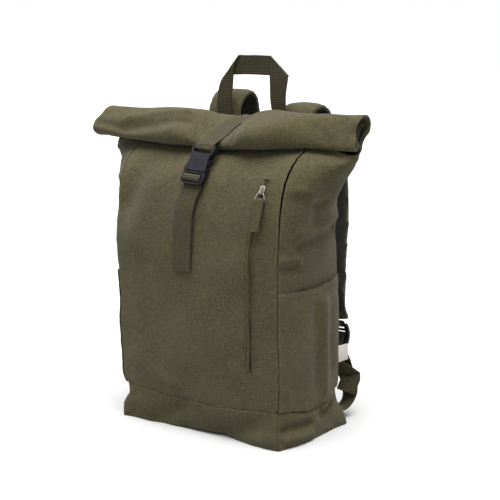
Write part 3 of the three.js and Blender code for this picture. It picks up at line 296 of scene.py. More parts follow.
@dataclass(frozen=True)
class PlasticFinish:
    """Moulded black plastic with a fine spark-eroded grain."""

    name: str = "black_plastic"
    body: Colour = (0.005, 0.005, 0.008)
    rubbed: Colour = (0.012, 0.012, 0.017)

    def material(self) -> bpy.types.Material:
        """Builds the plastic."""
        shader = Shader(self.name)
        place = shader.place()
        grain = shader.mottle(place, 2200.0, 2.0)
        smear = shader.mottle(place, 90.0, 3.0)
        colour = shader.blend(smear.ease(0.45, 0.8), self.body, self.rubbed)
        return shader.finish(colour, smear * 0.2 + 0.36, grain, 0.03 * MM, {"Specular IOR Level": 0.2})


@dataclass(frozen=True)
class MetalFinish:
    """Nickel plate with fine rub marks."""

    name: str = "nickel_plate"
    plate: Colour = (0.50, 0.48, 0.44)
    dull: Colour = (0.22, 0.21, 0.19)

    def material(self) -> bpy.types.Material:
        """Builds the plate."""
        shader = Shader(self.name)
        place = shader.place()
        rub = shader.mottle(place, 700.0, 4.0)
        colour = shader.blend(rub.ease(0.4, 0.7), self.plate, self.dull)
        return shader.finish(colour, rub * 0.25 + 0.16, rub, 0.02 * MM, {"Metallic": 1.0})


@dataclass(frozen=True)
class TapeFinish:
    """Fine cloth in one tone, for zip tape, teeth, thread and label."""

    name: str
    deep: Colour
    pale: Colour
    thread: float = 0.7 * MM
    relief: float = 0.12 * MM
    rough: float = 0.7

    def material(self) -> bpy.types.Material:
        """Builds the cloth."""
        shader = Shader(self.name)
        u, v = shader.weave_axes()
        turn = math.pi / self.thread
        weave = (u * turn).sine() * (v * turn).sine()
        fleck = shader.mottle(shader.place(), 420.0, 2.0)
        colour = shader.blend(fleck + weave * 0.2, self.deep, self.pale)
        height = weave * 0.5 + fleck * 0.4
        rough = fleck * 0.1 + self.rough
        return shader.finish(colour, rough, height, self.relief, {"Specular IOR Level": 0.2})


class Finishes:
    """Every material of the bag, made once."""

    def __init__(self) -> None:
        """Builds the materials."""
        self.canvas = CanvasFinish().material()
        self.webbing = WebbingFinish().material()
        self.plastic = PlasticFinish().material()
        self.metal = MetalFinish().material()
        self.tape = TapeFinish("zip_tape_cloth", (0.007, 0.006, 0.003), (0.020, 0.017, 0.010)).material()
        teeth = TapeFinish("zip_teeth", (0.050, 0.042, 0.020), (0.090, 0.077, 0.040), rough=0.45)
        self.teeth = teeth.material()
        self.thread = TapeFinish("sewing_thread", (0.030, 0.025, 0.011), (0.060, 0.050, 0.023)).material()
        # Thread darkened with painted shade, for the shadow of stitches sunk into the zip's rows.
        self.shaded_thread = TapeFinish("shaded_thread", (0.014, 0.011, 0.005), (0.030, 0.025, 0.012)).material()
        satin = TapeFinish("label_satin", (0.34, 0.315, 0.29), (0.42, 0.39, 0.36), 0.5 * MM)
        self.label = satin.material()


@dataclass(frozen=True)
class Fold:
    """A soft ridge or dent that runs along a line in the cloth.

    Attributes:
        start: One end of the line.
        end: Its other end.
        push: How far and where the cloth moves on the line.
        width: How far from the line the fold dies away.
    """

    start: Vector
    end: Vector
    push: Vector
    width: float

    def at(self, place: Vector) -> Vector:
        """How far this fold moves the cloth at a place."""
        line = self.end - self.start
        if (place - self.start - line * 0.5).length > 0.5 * line.length + 3.0 * self.width:
            return Vector()
        share = 0.0
        if line.length_squared > 0.0:
            share = min(1.0, max(0.0, (place - self.start).dot(line) / line.length_squared))
        away = (place - self.start - line * share).length / self.width
        return self.push * math.exp(-away * away)

    @classmethod
    def of(cls, row: FoldRow) -> "Fold":
        """The fold that a row of numbers describes."""
        return cls(millimetres(*row[0:3]), millimetres(*row[3:6]), millimetres(*row[6:9]), row[9] * MM)

    def mirrored(self, share: float) -> "Fold":
        """The fold on the bag's other side, at a share of its strength."""
        flip = Vector((-1.0, 1.0, 1.0))
        return Fold(self.start * flip, self.end * flip, self.push * flip * share, self.width)


def millimetres(x: float, y: float, z: float) -> Vector:
    """A point or a push from three lengths in millimetres."""
    return Vector((x, y, z)) * MM


def spaced(line: Sequence[Vector], step: float) -> list[Vector]:
    """Points along a line of corners at about even steps, with both ends."""
    lengths = [0.0]
    for a, b in zip(line, line[1:]):
        lengths.append(lengths[-1] + (b - a).length)
    count = max(1, round(lengths[-1] / step))
    made: list[Vector] = []
    i = 0
    for k in range(count + 1):
        target = lengths[-1] * k / count
        while i < len(line) - 2 and lengths[i + 1] < target:
            i += 1
        span = max(lengths[i + 1] - lengths[i], 1e-9)
        made.append(line[i].lerp(line[i + 1], (target - lengths[i]) / span))
    return made


class Lines:
    """Lines of sewing or rims that other pieces measure from."""

    def __init__(self, chains: Iterable[Sequence[Vector]], step: float = 1.5 * MM) -> None:
        """Measures lines of corners at points a step apart."""
        points = [p for chain in chains for p in spaced(chain, step)]
        self.tree = KDTree(len(points))
        for index, point in enumerate(points):
            self.tree.insert(point, index)
        self.tree.balance()

    def away(self, place: Vector) -> float:
        """How far a place is from the nearest line."""
        return self.tree.find(place)[2]


def placed(name: str, data: bpy.types.ID) -> bpy.types.Object:
    """Adds an object with some data to the scene."""
    made = bpy.data.objects.new(name, data)
    bpy.context.scene.collection.objects.link(made)
    return made


def evaluated(worker: bpy.types.Object) -> bpy.types.Mesh:
    """The mesh that an object's modifiers or curves give."""
    return bpy.data.meshes.new_from_object(worker.evaluated_get(bpy.context.evaluated_depsgraph_get()))


def divided(worker: bpy.types.Object, levels: int) -> bpy.types.Mesh:
    """The mesh of an object with each face divided a number of times into a smooth surface."""
    divide = worker.modifiers.new("divide", "SUBSURF")
    divide.levels = divide.render_levels = levels
    return evaluated(worker)


def box_of(node: str) -> tuple[Vector, Vector]:
    """The two corners of a node's box."""
    points = [v.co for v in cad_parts[node].data.vertices]
    return Vector(map(min, *points)), Vector(map(max, *points))


@dataclass(frozen=True)
class Calm:
    """A spot where hard fittings hold the cloth still."""

    MARGIN: ClassVar[float] = 12 * MM

    centre: Vector
    reach: float

    @classmethod
    def round(cls, *nodes: str) -> "Calm":
        """A spot that takes in some fittings."""
        boxes = [box_of(node) for node in nodes]
        low = Vector(map(min, *[b[0] for b in boxes], boxes[0][0]))
        high = Vector(map(max, *[b[1] for b in boxes], boxes[0][1]))
        return cls((low + high) / 2, (high - low).length / 2 + cls.MARGIN)

    def freedom(self, place: Vector) -> float:
        """How freely the cloth moves at a place, from 0 to 1."""
        away = (place - self.centre).length / self.reach
        return 1.0 - math.exp(-(away ** 4))


@dataclass
class Drape:
    """The one field of folds and waves that moves all the body's cloth together.

    Attributes:
        folds: Folds seen in the cloth.
        seams: Where the cloth is drawn in and puckered by sewing.
        calms: Spots where hard fittings hold the cloth.
        wave: How tall the broad unevenness of the cloth is, and wave_length how long.
        ripple: How tall its small unevenness is, and ripple_length how long.
        groove: How deep the cloth is sunk in a seam, dying away at groove_reach.
        pucker: How tall the puckers at a seam are, dying away at pucker_reach.
        half_width: Half of the bag's width, and half_depth of its depth.
        floor_reach: How far above the floor the cloth moves down freely.
    """

    folds: Sequence[Fold]
    seams: Lines
    calms: Sequence[Calm]
    wave: float = 2.1 * MM
    ripple: float = 0.75 * MM
    wave_length: float = 62 * MM
    ripple_length: float = 24 * MM
    groove: float = 0.8 * MM
    groove_reach: float = 6 * MM
    pucker: float = 0.9 * MM
    pucker_length: float = 9 * MM
    pucker_reach: float = 13 * MM
    fold_strength: float = 1.45
    half_width: float = 140 * MM
    half_depth: float = 75 * MM
    floor_reach: float = 12 * MM

    def inward(self, place: Vector) -> Vector:
        """The way from the cloth towards the bag's middle."""
        way = Vector((-((place.x / self.half_width) ** 5), -((place.y / self.half_depth) ** 5), 0.0))
        return way.normalized() if way.length_squared > 0.0 else way

    def moved(self, place: Vector) -> Vector:
        """Where a point of the cloth comes to lie.

        Args:
            place: The point on the smooth solid.

        Returns:
            The point on the draped cloth. Cloth at the floor doesn't sink into it.
        """
        push = noise.noise_vector(place / self.wave_length) * self.wave
        push += noise.noise_vector(place / self.ripple_length) * self.ripple
        for fold in self.folds:
            push += fold.at(place) * self.fold_strength
        away = self.seams.away(place)
        if away < 3.0 * self.pucker_reach:
            near = math.exp(-((away / self.pucker_reach) ** 2))
            push += noise.noise_vector(place / self.pucker_length) * (self.pucker * near)
            sunk = max(0.0, 1.0 - away / self.groove_reach)
            push += self.inward(place) * (self.groove * sunk * sunk)
        for calm in self.calms:
            push *= calm.freedom(place)
        grounded = min(1.0, max(0.0, place.z / self.floor_reach))
        return place + Vector((push.x, push.y, push.z * grounded if push.z < 0.0 else push.z))


class Solid:
    """A piece's solid as a mesh that can be worked on."""

    SHARP = math.radians(55)
    FLAT = math.radians(1.5)
    PAIRED = math.radians(50)
    SQUARE = math.radians(60)

    def __init__(self, mesh: bmesh.types.BMesh) -> None:
        """Takes a mesh to work on."""
        self.mesh = mesh

    @classmethod
    def of(cls, node: str) -> "Solid":
        """Copies a node and merges the corners that its triangles share."""
        mesh = bmesh.new()
        mesh.from_mesh(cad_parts[node].data)
        bmesh.ops.remove_doubles(mesh, verts=mesh.verts, dist=0.004 * MM)
        return cls(mesh)

    def rims(self) -> list[list[Vector]]:
        """The solid's sharp edges as lines of points, each from one corner to the next."""
        sharp = {e for e in self.mesh.edges if len(e.link_faces) == 2 and e.calc_face_angle() > self.SHARP}
        at: dict[bmesh.types.BMVert, list[bmesh.types.BMEdge]] = {}
        for edge in sharp:
            for vert in edge.verts:
                at.setdefault(vert, []).append(edge)
        ends = [v for v in sorted(at, key=lambda v: v.index) if len(at[v]) != 2]
        chains: list[list[Vector]] = []
        used: set[bmesh.types.BMEdge] = set()
        for start in ends or sorted(at, key=lambda v: v.index)[:1]:
            for first in sorted(at[start], key=lambda e: e.index):
                if first in used:
                    continue
                vert, edge, line = start, first, [start.co.copy()]
                while edge is not None and edge not in used:
                    used.add(edge)
                    vert = edge.other_vert(vert)
                    line.append(vert.co.copy())
                    onward = [e for e in at[vert] if e not in used] if len(at[vert]) == 2 else []
                    edge = onward[0] if onward else None
                chains.append(line)
        return chains

    def flatten(self) -> "Solid":
        """Joins faces that lie in one plane, for hard pieces."""
        verts, edges = self.mesh.verts, self.mesh.edges
        bmesh.ops.dissolve_limit(
            self.mesh, angle_limit=self.FLAT, verts=verts, edges=edges, use_dissolve_boundaries=False
        )
        return self

    def ease_corners(self, width: float, segments: int = 2, angle: float = math.radians(35)) -> "Solid":
        """Rounds the edges that are sharper than an angle, to a width and in a number of segments."""
        edges = [e for e in self.mesh.edges if len(e.link_faces) == 2 and e.calc_face_angle() > angle]
        bmesh.ops.bevel(
            self.mesh, geom=edges, offset=width, offset_type="OFFSET", affect="EDGES", segments=segments,
            profile=0.5, material=-1, clamp_overlap=True,
        )
        return self

    def quads(self) -> "Solid":
        """Pairs triangles into four-sided faces, so that subdivision stays even."""
        faces = self.mesh.faces
        bmesh.ops.join_triangles(
            self.mesh, faces=faces, angle_face_threshold=self.PAIRED, angle_shape_threshold=self.SQUARE
        )
        return self

    def creased(self) -> "Solid":
        """Keeps the rims from shrinking when the cloth is subdivided."""
        layer = self.mesh.edges.layers.float.new("crease_edge")
        for edge in self.mesh.edges:
            if len(edge.link_faces) == 2 and edge.calc_face_angle() > self.SHARP:
                edge[layer] = 1.0
        return self

    def smoothed(self, levels: int) -> "Solid":
        """Subdivides the solid a number of times into a fine smooth surface."""
        data = bpy.data.meshes.new("work")
        self.mesh.to_mesh(data)
        worker = placed("work", data)
        fine = divided(worker, levels)
        self.mesh.clear()
        self.mesh.from_mesh(fine)
        bpy.data.objects.remove(worker)
        bpy.data.meshes.remove(data)
        bpy.data.meshes.remove(fine)
        return self

    def move(self, rule: Callable[[Vector], Vector]) -> "Solid":
        """Moves every point by a rule."""
        for vert in self.mesh.verts:
            vert.co = rule(vert.co)
        return self

    def marked(self, name: str, shares: Iterable[float]) -> "Solid":
        """Gives every point a number, under a name that its finish reads."""
        mark = self.mesh.verts.layers.float.new(name)
        for vert, share in zip(self.mesh.verts, shares):
            vert[mark] = share
        return self

    def seamed(self, seams: Lines, reach: float) -> "Solid":
        """Marks how close every point lies to a seam, up to a reach."""
        return self.marked(SEAM_MASK, [max(0.0, 1.0 - seams.away(v.co) / reach) for v in self.mesh.verts])

    def surface(self) -> BVHTree:
        """The solid's skin, for laying other pieces on it."""
        return BVHTree.FromBMesh(self.mesh)

    def weave(self) -> "Solid":
        """Lays the weave on the cloth, squarely to whichever way each face looks."""
        layer = self.mesh.loops.layers.uv.new(WEAVE_MAP)
        for face in self.mesh.faces:
            x, y, z = (abs(c) for c in face.normal)
            axes = (1, 2) if x >= y and x >= z else (0, 2) if y >= z else (0, 1)
            for loop in face.loops:
                loop[layer].uv = [loop.vert.co[i] for i in axes]
        return self


def publish(
    mesh: bmesh.types.BMesh, name: str, material: bpy.types.Material, slot: Slot,
    body: Body = Body.BAG, replaces: str = "",
) -> bpy.types.Object:
    """Makes a finished piece from a mesh.

    Args:
        mesh: The mesh, in place. It is used up.
        name: The piece's name.
        material: Its material.
        slot: The record's slot for its finish. Not used.
        body: The body that it rides on.
        replaces: The frame's node that it stands for, if any.

    Returns:
        The piece.
    """
    data = bpy.data.meshes.new(name)
    for face in mesh.faces:
        face.smooth = True
    mesh.to_mesh(data)
    mesh.free()
    data.set_sharp_from_angle(angle=math.radians(40))
    data.materials.append(material)
    piece = placed(name, data)
    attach(piece, body.value)
    if replaces:
        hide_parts(replaces)
    LOG.info("%s: %d faces", name, len(data.polygons))
    return piece


def one_side(piece: bpy.types.Object) -> float:
    """The area of one side of a thin piece of cloth."""
    return sum(p.area for p in piece.data.polygons) / 2


@dataclass
class Stitching:
    """Rows of raised stitches, gathered into one mesh.

    Attributes:
        length: How long one stitch is.
        gap: The space between two of them.
        width: How wide the thread lies.
        height: How thick it is.
        lift: The share of that by which its middle stands off the cloth.
    """

    length: float = 2.7 * MM
    gap: float = 0.9 * MM
    width: float = 0.9 * MM
    height: float = 0.7 * MM
    lift: float = 0.18
    mesh: bmesh.types.BMesh = field(default_factory=bmesh.new)

    def stitch(self, start: Vector, end: Vector, up: Vector) -> None:
        """Adds one stitch between two points of the cloth."""
        along = (end - start).normalized()
        side = up.cross(along).normalized()
        turn = Matrix((along, side, along.cross(side))).transposed().to_4x4()
        size = Matrix.Diagonal((self.length / 2, self.width / 2, self.height / 2, 1.0))
        centre = Matrix.Translation((start + end) / 2 + up * (self.lift * self.height))
        shape = centre @ turn @ size
        bmesh.ops.create_uvsphere(self.mesh, u_segments=6, v_segments=4, radius=1.0, matrix=shape)

    def row(self, line: Sequence[Vector], skin: BVHTree) -> None:
        """Sews a row along a line, on the skin of the cloth under it."""
        points = spaced(line, self.length + self.gap)
        for a, b in zip(points, points[1:]):
            found, normal, _, _ = skin.find_nearest((a + b) / 2)
            along = (b - a).normalized() * (self.length / 2)
            self.stitch(found - along, found + along, normal)

    def publish(self, name: str, material: bpy.types.Material) -> bpy.types.Object:
        """Makes the rows a piece."""
        self.mesh.loops.layers.uv.new(WEAVE_MAP)
        return publish(self.mesh, name, material, Slot.CANVAS)


@dataclass
class Shell:
    """The sewn cloth body: base tray, four panels and two side pockets.

    Attributes:
        finishes: The bag's materials.
        drape: The field of folds that moves the cloth.
        levels: How finely the cloth is divided.
        mark_reach: How far from a seam its mark ends.
        skins: The finished cloth's skins, for sewing on them.
    """

    finishes: Finishes
    drape: Drape
    levels: int = 3
    mark_reach: float = 8 * MM
    skins: dict[str, BVHTree] = field(default_factory=dict)

    SHEETS = {
        "base_tray": (0.46, 0.33),
        "front_panel": (0.40, 0.41),
        "side_panel_right": (0.21, 0.37),
        "side_panel_left": (0.21, 0.37),
        "back_panel": (0.28, 0.37),
        "side_pocket_right": (0.145, 0.165),
        "side_pocket_left": (0.145, 0.165),
    }

    def build(self) -> list[bpy.types.Object]:
        """Builds the seven cloth pieces, each in the place of its node."""
        return [self.cloth(node) for node in self.SHEETS]

    def cloth(self, node: str) -> bpy.types.Object:
        """Builds one piece of cloth in the place of its node."""
        solid = Solid.of(node).quads().creased().smoothed(self.levels)
        solid.seamed(self.drape.seams, self.mark_reach).move(self.drape.moved)
        self.skins[node] = solid.surface()
        name = node.replace("_panel", "_cloth").replace("_tray", "_cloth")
        piece = publish(solid.weave().mesh, name, self.finishes.canvas, Slot.CANVAS, replaces=node)
        width, height = self.SHEETS[node]
        scale = math.sqrt(one_side(piece) / (width * height))
        width * scale
        height * scale
        return piece


@dataclass
class Roll:
    """The flattened mouth, rolled forward into a thick soft hem.

    Attributes:
        finishes: The bag's materials.
        drape: The field of folds that moves the cloth.
        ends: The box of each open end, for left and right.
        end_reach: How far in from the ends the layers part.
        recess: How far the inner layers draw back from the ends.
        opening: The share by which they draw together.
        shade: How dark it is between them.
        mouth: How far out from the middle of the end the opening reaches, as a share of its half size.
        mouth_fade: The share over which it fades.
        tip: How far out the points of the ends lie.
        hem_reach: How far from its rims their mark ends.
        flat_width: How wide the sheet is when it is unrolled.
    """

    finishes: Finishes
    drape: Drape
    ends: dict[bool, tuple[Vector, Vector]] = field(default_factory=dict)
    end_reach: float = 34 * MM
    recess: float = 6 * MM
    opening: float = 0.13
    shade: float = 0.85
    mouth: float = 0.80
    mouth_fade: float = 0.35
    tip: float = 0.198
    hem_reach: float = 6 * MM
    flat_width: float = 0.42

    def depth(self, place: Vector) -> float:
        """How deep in the open end of the spiral a place lies: 0 outside, 1 in the middle of the end."""
        low, high = self.ends[place.x > 0.0]
        reach = 1.0 - (max(abs(low.x), abs(high.x)) - abs(place.x)) / self.end_reach
        centre, half = (low + high) / 2, (high - low) / 2
        away = math.hypot((place.y - centre.y) / half.y, (place.z - centre.z) / half.z)
        return max(0.0, min(1.0, reach)) * max(0.0, min(1.0, (self.mouth - away) / self.mouth_fade))

    def opened(self, place: Vector) -> Vector:
        """Draws the inner layers back and together, so that the ends stand open."""
        low, high = self.ends[place.x > 0.0]
        share = self.depth(place)
        centre = (low + high) / 2
        drawn = place.lerp(Vector((place.x, centre.y, centre.z)), self.opening * share)
        return drawn - Vector((math.copysign(self.recess * share, place.x), 0.0, 0.0))

    def build(self) -> bpy.types.Object:
        """Builds the rolled cloth."""
        points = [v.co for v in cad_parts["roll_top"].data.vertices if abs(v.co.x) > self.tip]
        for right in (False, True):
            near = [p for p in points if (p.x > 0.0) == right]
            self.ends[right] = (Vector(map(min, *near)), Vector(map(max, *near)))
        solid = Solid.of("roll_top")
        hems = Lines(solid.rims())
        solid.quads().creased().smoothed(2).seamed(hems, self.hem_reach)
        # Painted shade in the roll's open ends, darkest deep between the layers.
        solid.marked(LINING_AND_SHADE_MASK, [self.shade * self.depth(v.co) for v in solid.mesh.verts])
        solid.move(self.opened).move(self.drape.moved)
        canvas = self.finishes.canvas
        piece = publish(solid.weave().mesh, "rolled_mouth", canvas, Slot.CANVAS, replaces="roll_top")
        flat = (self.flat_width, one_side(piece) / self.flat_width)
        return piece


@dataclass
class Webbing:
    """All the flat straps: closure strap, front webbing, handle, lock loops and adjusters."""

    finishes: Finishes
    drape: Drape
    skins: dict[str, BVHTree] = field(default_factory=dict)
    rounding: float = 0.45 * MM
    selvedge: float = 1.6 * MM

    STRAPS = (
        "closure_strap", "front_webbing", "carry_handle", "lock_loop_right", "lock_loop_left",
        "adjuster_webbing_right", "adjuster_webbing_left",
    )

    def build(self) -> list[bpy.types.Object]:
        """Builds every strap in the place of its node."""
        return [self.strap(node) for node in self.STRAPS]

    def strap(self, node: str) -> bpy.types.Object:
        """Builds one strap with soft selvedges in the place of its node."""
        solid = Solid.of(node).quads()
        selvedges = Lines(solid.rims())
        solid.ease_corners(self.rounding, 2, math.radians(60)).smoothed(2)
        solid.seamed(selvedges, self.selvedge).move(self.drape.moved)
        self.skins[node] = solid.surface()
        webbing = self.finishes.webbing
        return publish(solid.weave().mesh, node + "_woven", webbing, Slot.WEBBING, replaces=node)


@dataclass
class Fittings:
    """The moulded buckle halves and ladder locks, and the zip's metal."""

    finishes: Finishes

    HARD = {
        "buckle_socket": (0.55 * MM, Slot.PLASTIC, Body.BAG),
        "buckle_plug": (0.45 * MM, Slot.PLASTIC, Body.BAG),
        "ladder_lock_right": (0.6 * MM, Slot.PLASTIC, Body.BAG),
        "ladder_lock_left": (0.6 * MM, Slot.PLASTIC, Body.BAG),
        "zip_slider": (0.3 * MM, Slot.METAL, Body.BAG),
        "zip_ring": (0.3 * MM, Slot.METAL, Body.ZIP_PULL),
    }

    def build(self) -> list[bpy.types.Object]:
        """Builds every hard fitting with moulded corners."""
        return [self.fitting(node, *facts) for node, facts in self.HARD.items()]

    def fitting(self, node: str, width: float, slot: Slot, body: Body) -> bpy.types.Object:
        """Builds one fitting from its node, with corners rounded to a width."""
        solid = Solid.of(node).flatten().ease_corners(width, 3)
        material = self.finishes.plastic if slot is Slot.PLASTIC else self.finishes.metal
        return publish(solid.mesh, node + "_moulded", material, slot, body, node)


@dataclass
class ShoulderStraps:
    """The two padded straps: canvas outside, spacer mesh inside, swollen by a cloth simulation.

    Attributes:
        finishes: The bag's materials.
        voxel: How finely the pads are remeshed.
        pressure: How hard the foam pushes out.
        most: How far a point may move.
        frames: How many steps the simulation runs.
        seam_inset: How far in from its edges a pad is sewn, in a channel of seam_depth.
        end_reach: How much of the lower end is stretched, until it overlaps the lock's loop.
        loop_middle: Where the loop between strap and back runs, from loop_low up to loop_high.
        lining_from: How squarely the lining looks into that loop.
    """

    finishes: Finishes
    drape: Drape
    skins: dict[str, BVHTree] = field(default_factory=dict)
    voxel: float = 4.2 * MM
    pressure: float = 4.0
    most: float = 2.6 * MM
    frames: int = 20
    seam_inset: float = 5 * MM
    seam_depth: float = 0.9 * MM
    end_reach: float = 34 * MM
    overlap: float = 1.5 * MM
    loop_middle: float = 88 * MM
    loop_low: float = 170 * MM
    loop_high: float = 385 * MM
    channel: float = 1.6 * MM
    channel_mark: float = 0.8
    lining_from: float = 0.42
    lining_fade: float = 0.12
    fill: float = 0.5

    def build(self) -> list[bpy.types.Object]:
        """Builds both straps."""
        return [self.strap("shoulder_strap_" + side) for side in ("right", "left")]

    def swollen(self, solid: Solid) -> Solid:
        """Remeshes a plain pad and lets its filling push it out."""
        data = bpy.data.meshes.new("pad")
        solid.mesh.to_mesh(data)
        worker = placed("pad", data)
        remesh = worker.modifiers.new("remesh", "REMESH")
        remesh.mode = "VOXEL"
        remesh.voxel_size = self.voxel
        rest = evaluated(worker)
        worker.modifiers.clear()
        worker.data = rest
        before = [v.co.copy() for v in rest.vertices]
        cloth = worker.modifiers.new("filling", "CLOTH").settings
        cloth.use_pressure = True
        cloth.uniform_pressure_force = self.pressure
        cloth.effector_weights.gravity = 0.0
        scene = bpy.context.scene
        for step in range(1, self.frames + 1):
            scene.frame_set(step)
        after = worker.evaluated_get(bpy.context.evaluated_depsgraph_get()).to_mesh()
        for vert, start, end in zip(rest.vertices, before, [v.co.copy() for v in after.vertices]):
            move = end - start
            vert.co = start + move * min(1.0, self.most / max(move.length, 1e-9))
        worker.modifiers.clear()
        scene.frame_set(1)
        solid.mesh.clear()
        solid.mesh.from_mesh(divided(worker, 1))
        bpy.data.objects.remove(worker)
        return solid

    def lengthened(self, place: Vector, lowest: float, short: float) -> Vector:
        """Draws a point of a pad's lower end down, by what remeshing took from it."""
        share = max(0.0, 1.0 - (place.z - lowest) / self.end_reach)
        return place - Vector((0.0, 0.0, (short + self.overlap) * share))

    def lined(self, place: Vector, normal: Vector) -> float:
        """How far a point is lining and not canvas: 1 where it looks into the strap's own loop."""
        middle = Vector((place.x, self.loop_middle, min(self.loop_high, max(self.loop_low, place.z))))
        facing = normal.dot((middle - place).normalized())
        return min(1.0, max(0.0, (facing - self.lining_from) / self.lining_fade))

    def strap(self, node: str) -> bpy.types.Object:
        """Builds one padded strap in the place of its node."""
        solid = Solid.of(node)
        edges = Lines(solid.rims())
        self.swollen(solid)
        solid.mesh.normal_update()
        offsets = [(edges.away(v.co) - self.seam_inset) / self.channel for v in solid.mesh.verts]
        channels = [math.exp(-(offset ** 2)) for offset in offsets]
        solid.marked(SEAM_MASK, [self.channel_mark * share for share in channels])
        solid.marked(LINING_AND_SHADE_MASK, [self.lined(v.co, v.normal) for v in solid.mesh.verts])
        for vert, share in zip(solid.mesh.verts, channels):
            vert.co = vert.co - vert.normal * (self.seam_depth * share)
        short = min(v.co.z for v in solid.mesh.verts) - box_of(node)[0].z
        lowest = box_of(node)[0].z + short
        solid.move(lambda place: self.lengthened(place, lowest, short))
        solid.move(self.drape.moved)
        self.skins[node] = solid.surface()
        canvas = self.finishes.canvas
        piece = publish(solid.weave().mesh, node + "_padded", canvas, Slot.CANVAS, replaces=node)
        return piece


def piping(
    line: Sequence[Vector], radius: float, name: str, material: bpy.types.Material
) -> bpy.types.Object:
    """Makes a round piping of cloth along a line.

    Args:
        line: The middle line.
        radius: The piping's radius.
        name: The piece's name.
        material: Its material.

    Returns:
        The piping.
    """
    curve = bpy.data.curves.new(name, "CURVE")
    curve.dimensions = "3D"
    curve.bevel_depth = radius
    curve.bevel_resolution = 2
    curve.use_fill_caps = True
    spline = curve.splines.new("POLY")
    spline.points.add(len(line) - 1)
    for point, place in zip(spline.points, line):
        point.co = (*place, 1.0)
    worker = placed(name, curve)
    data = evaluated(worker)
    mesh = bmesh.new()
    mesh.from_mesh(data)
    bpy.data.objects.remove(worker)
    bpy.data.curves.remove(curve)
    bpy.data.meshes.remove(data)
    for layer in list(mesh.loops.layers.uv):
        mesh.loops.layers.uv.remove(layer)
    return publish(Solid(mesh).weave().mesh, name, material, Slot.CANVAS)


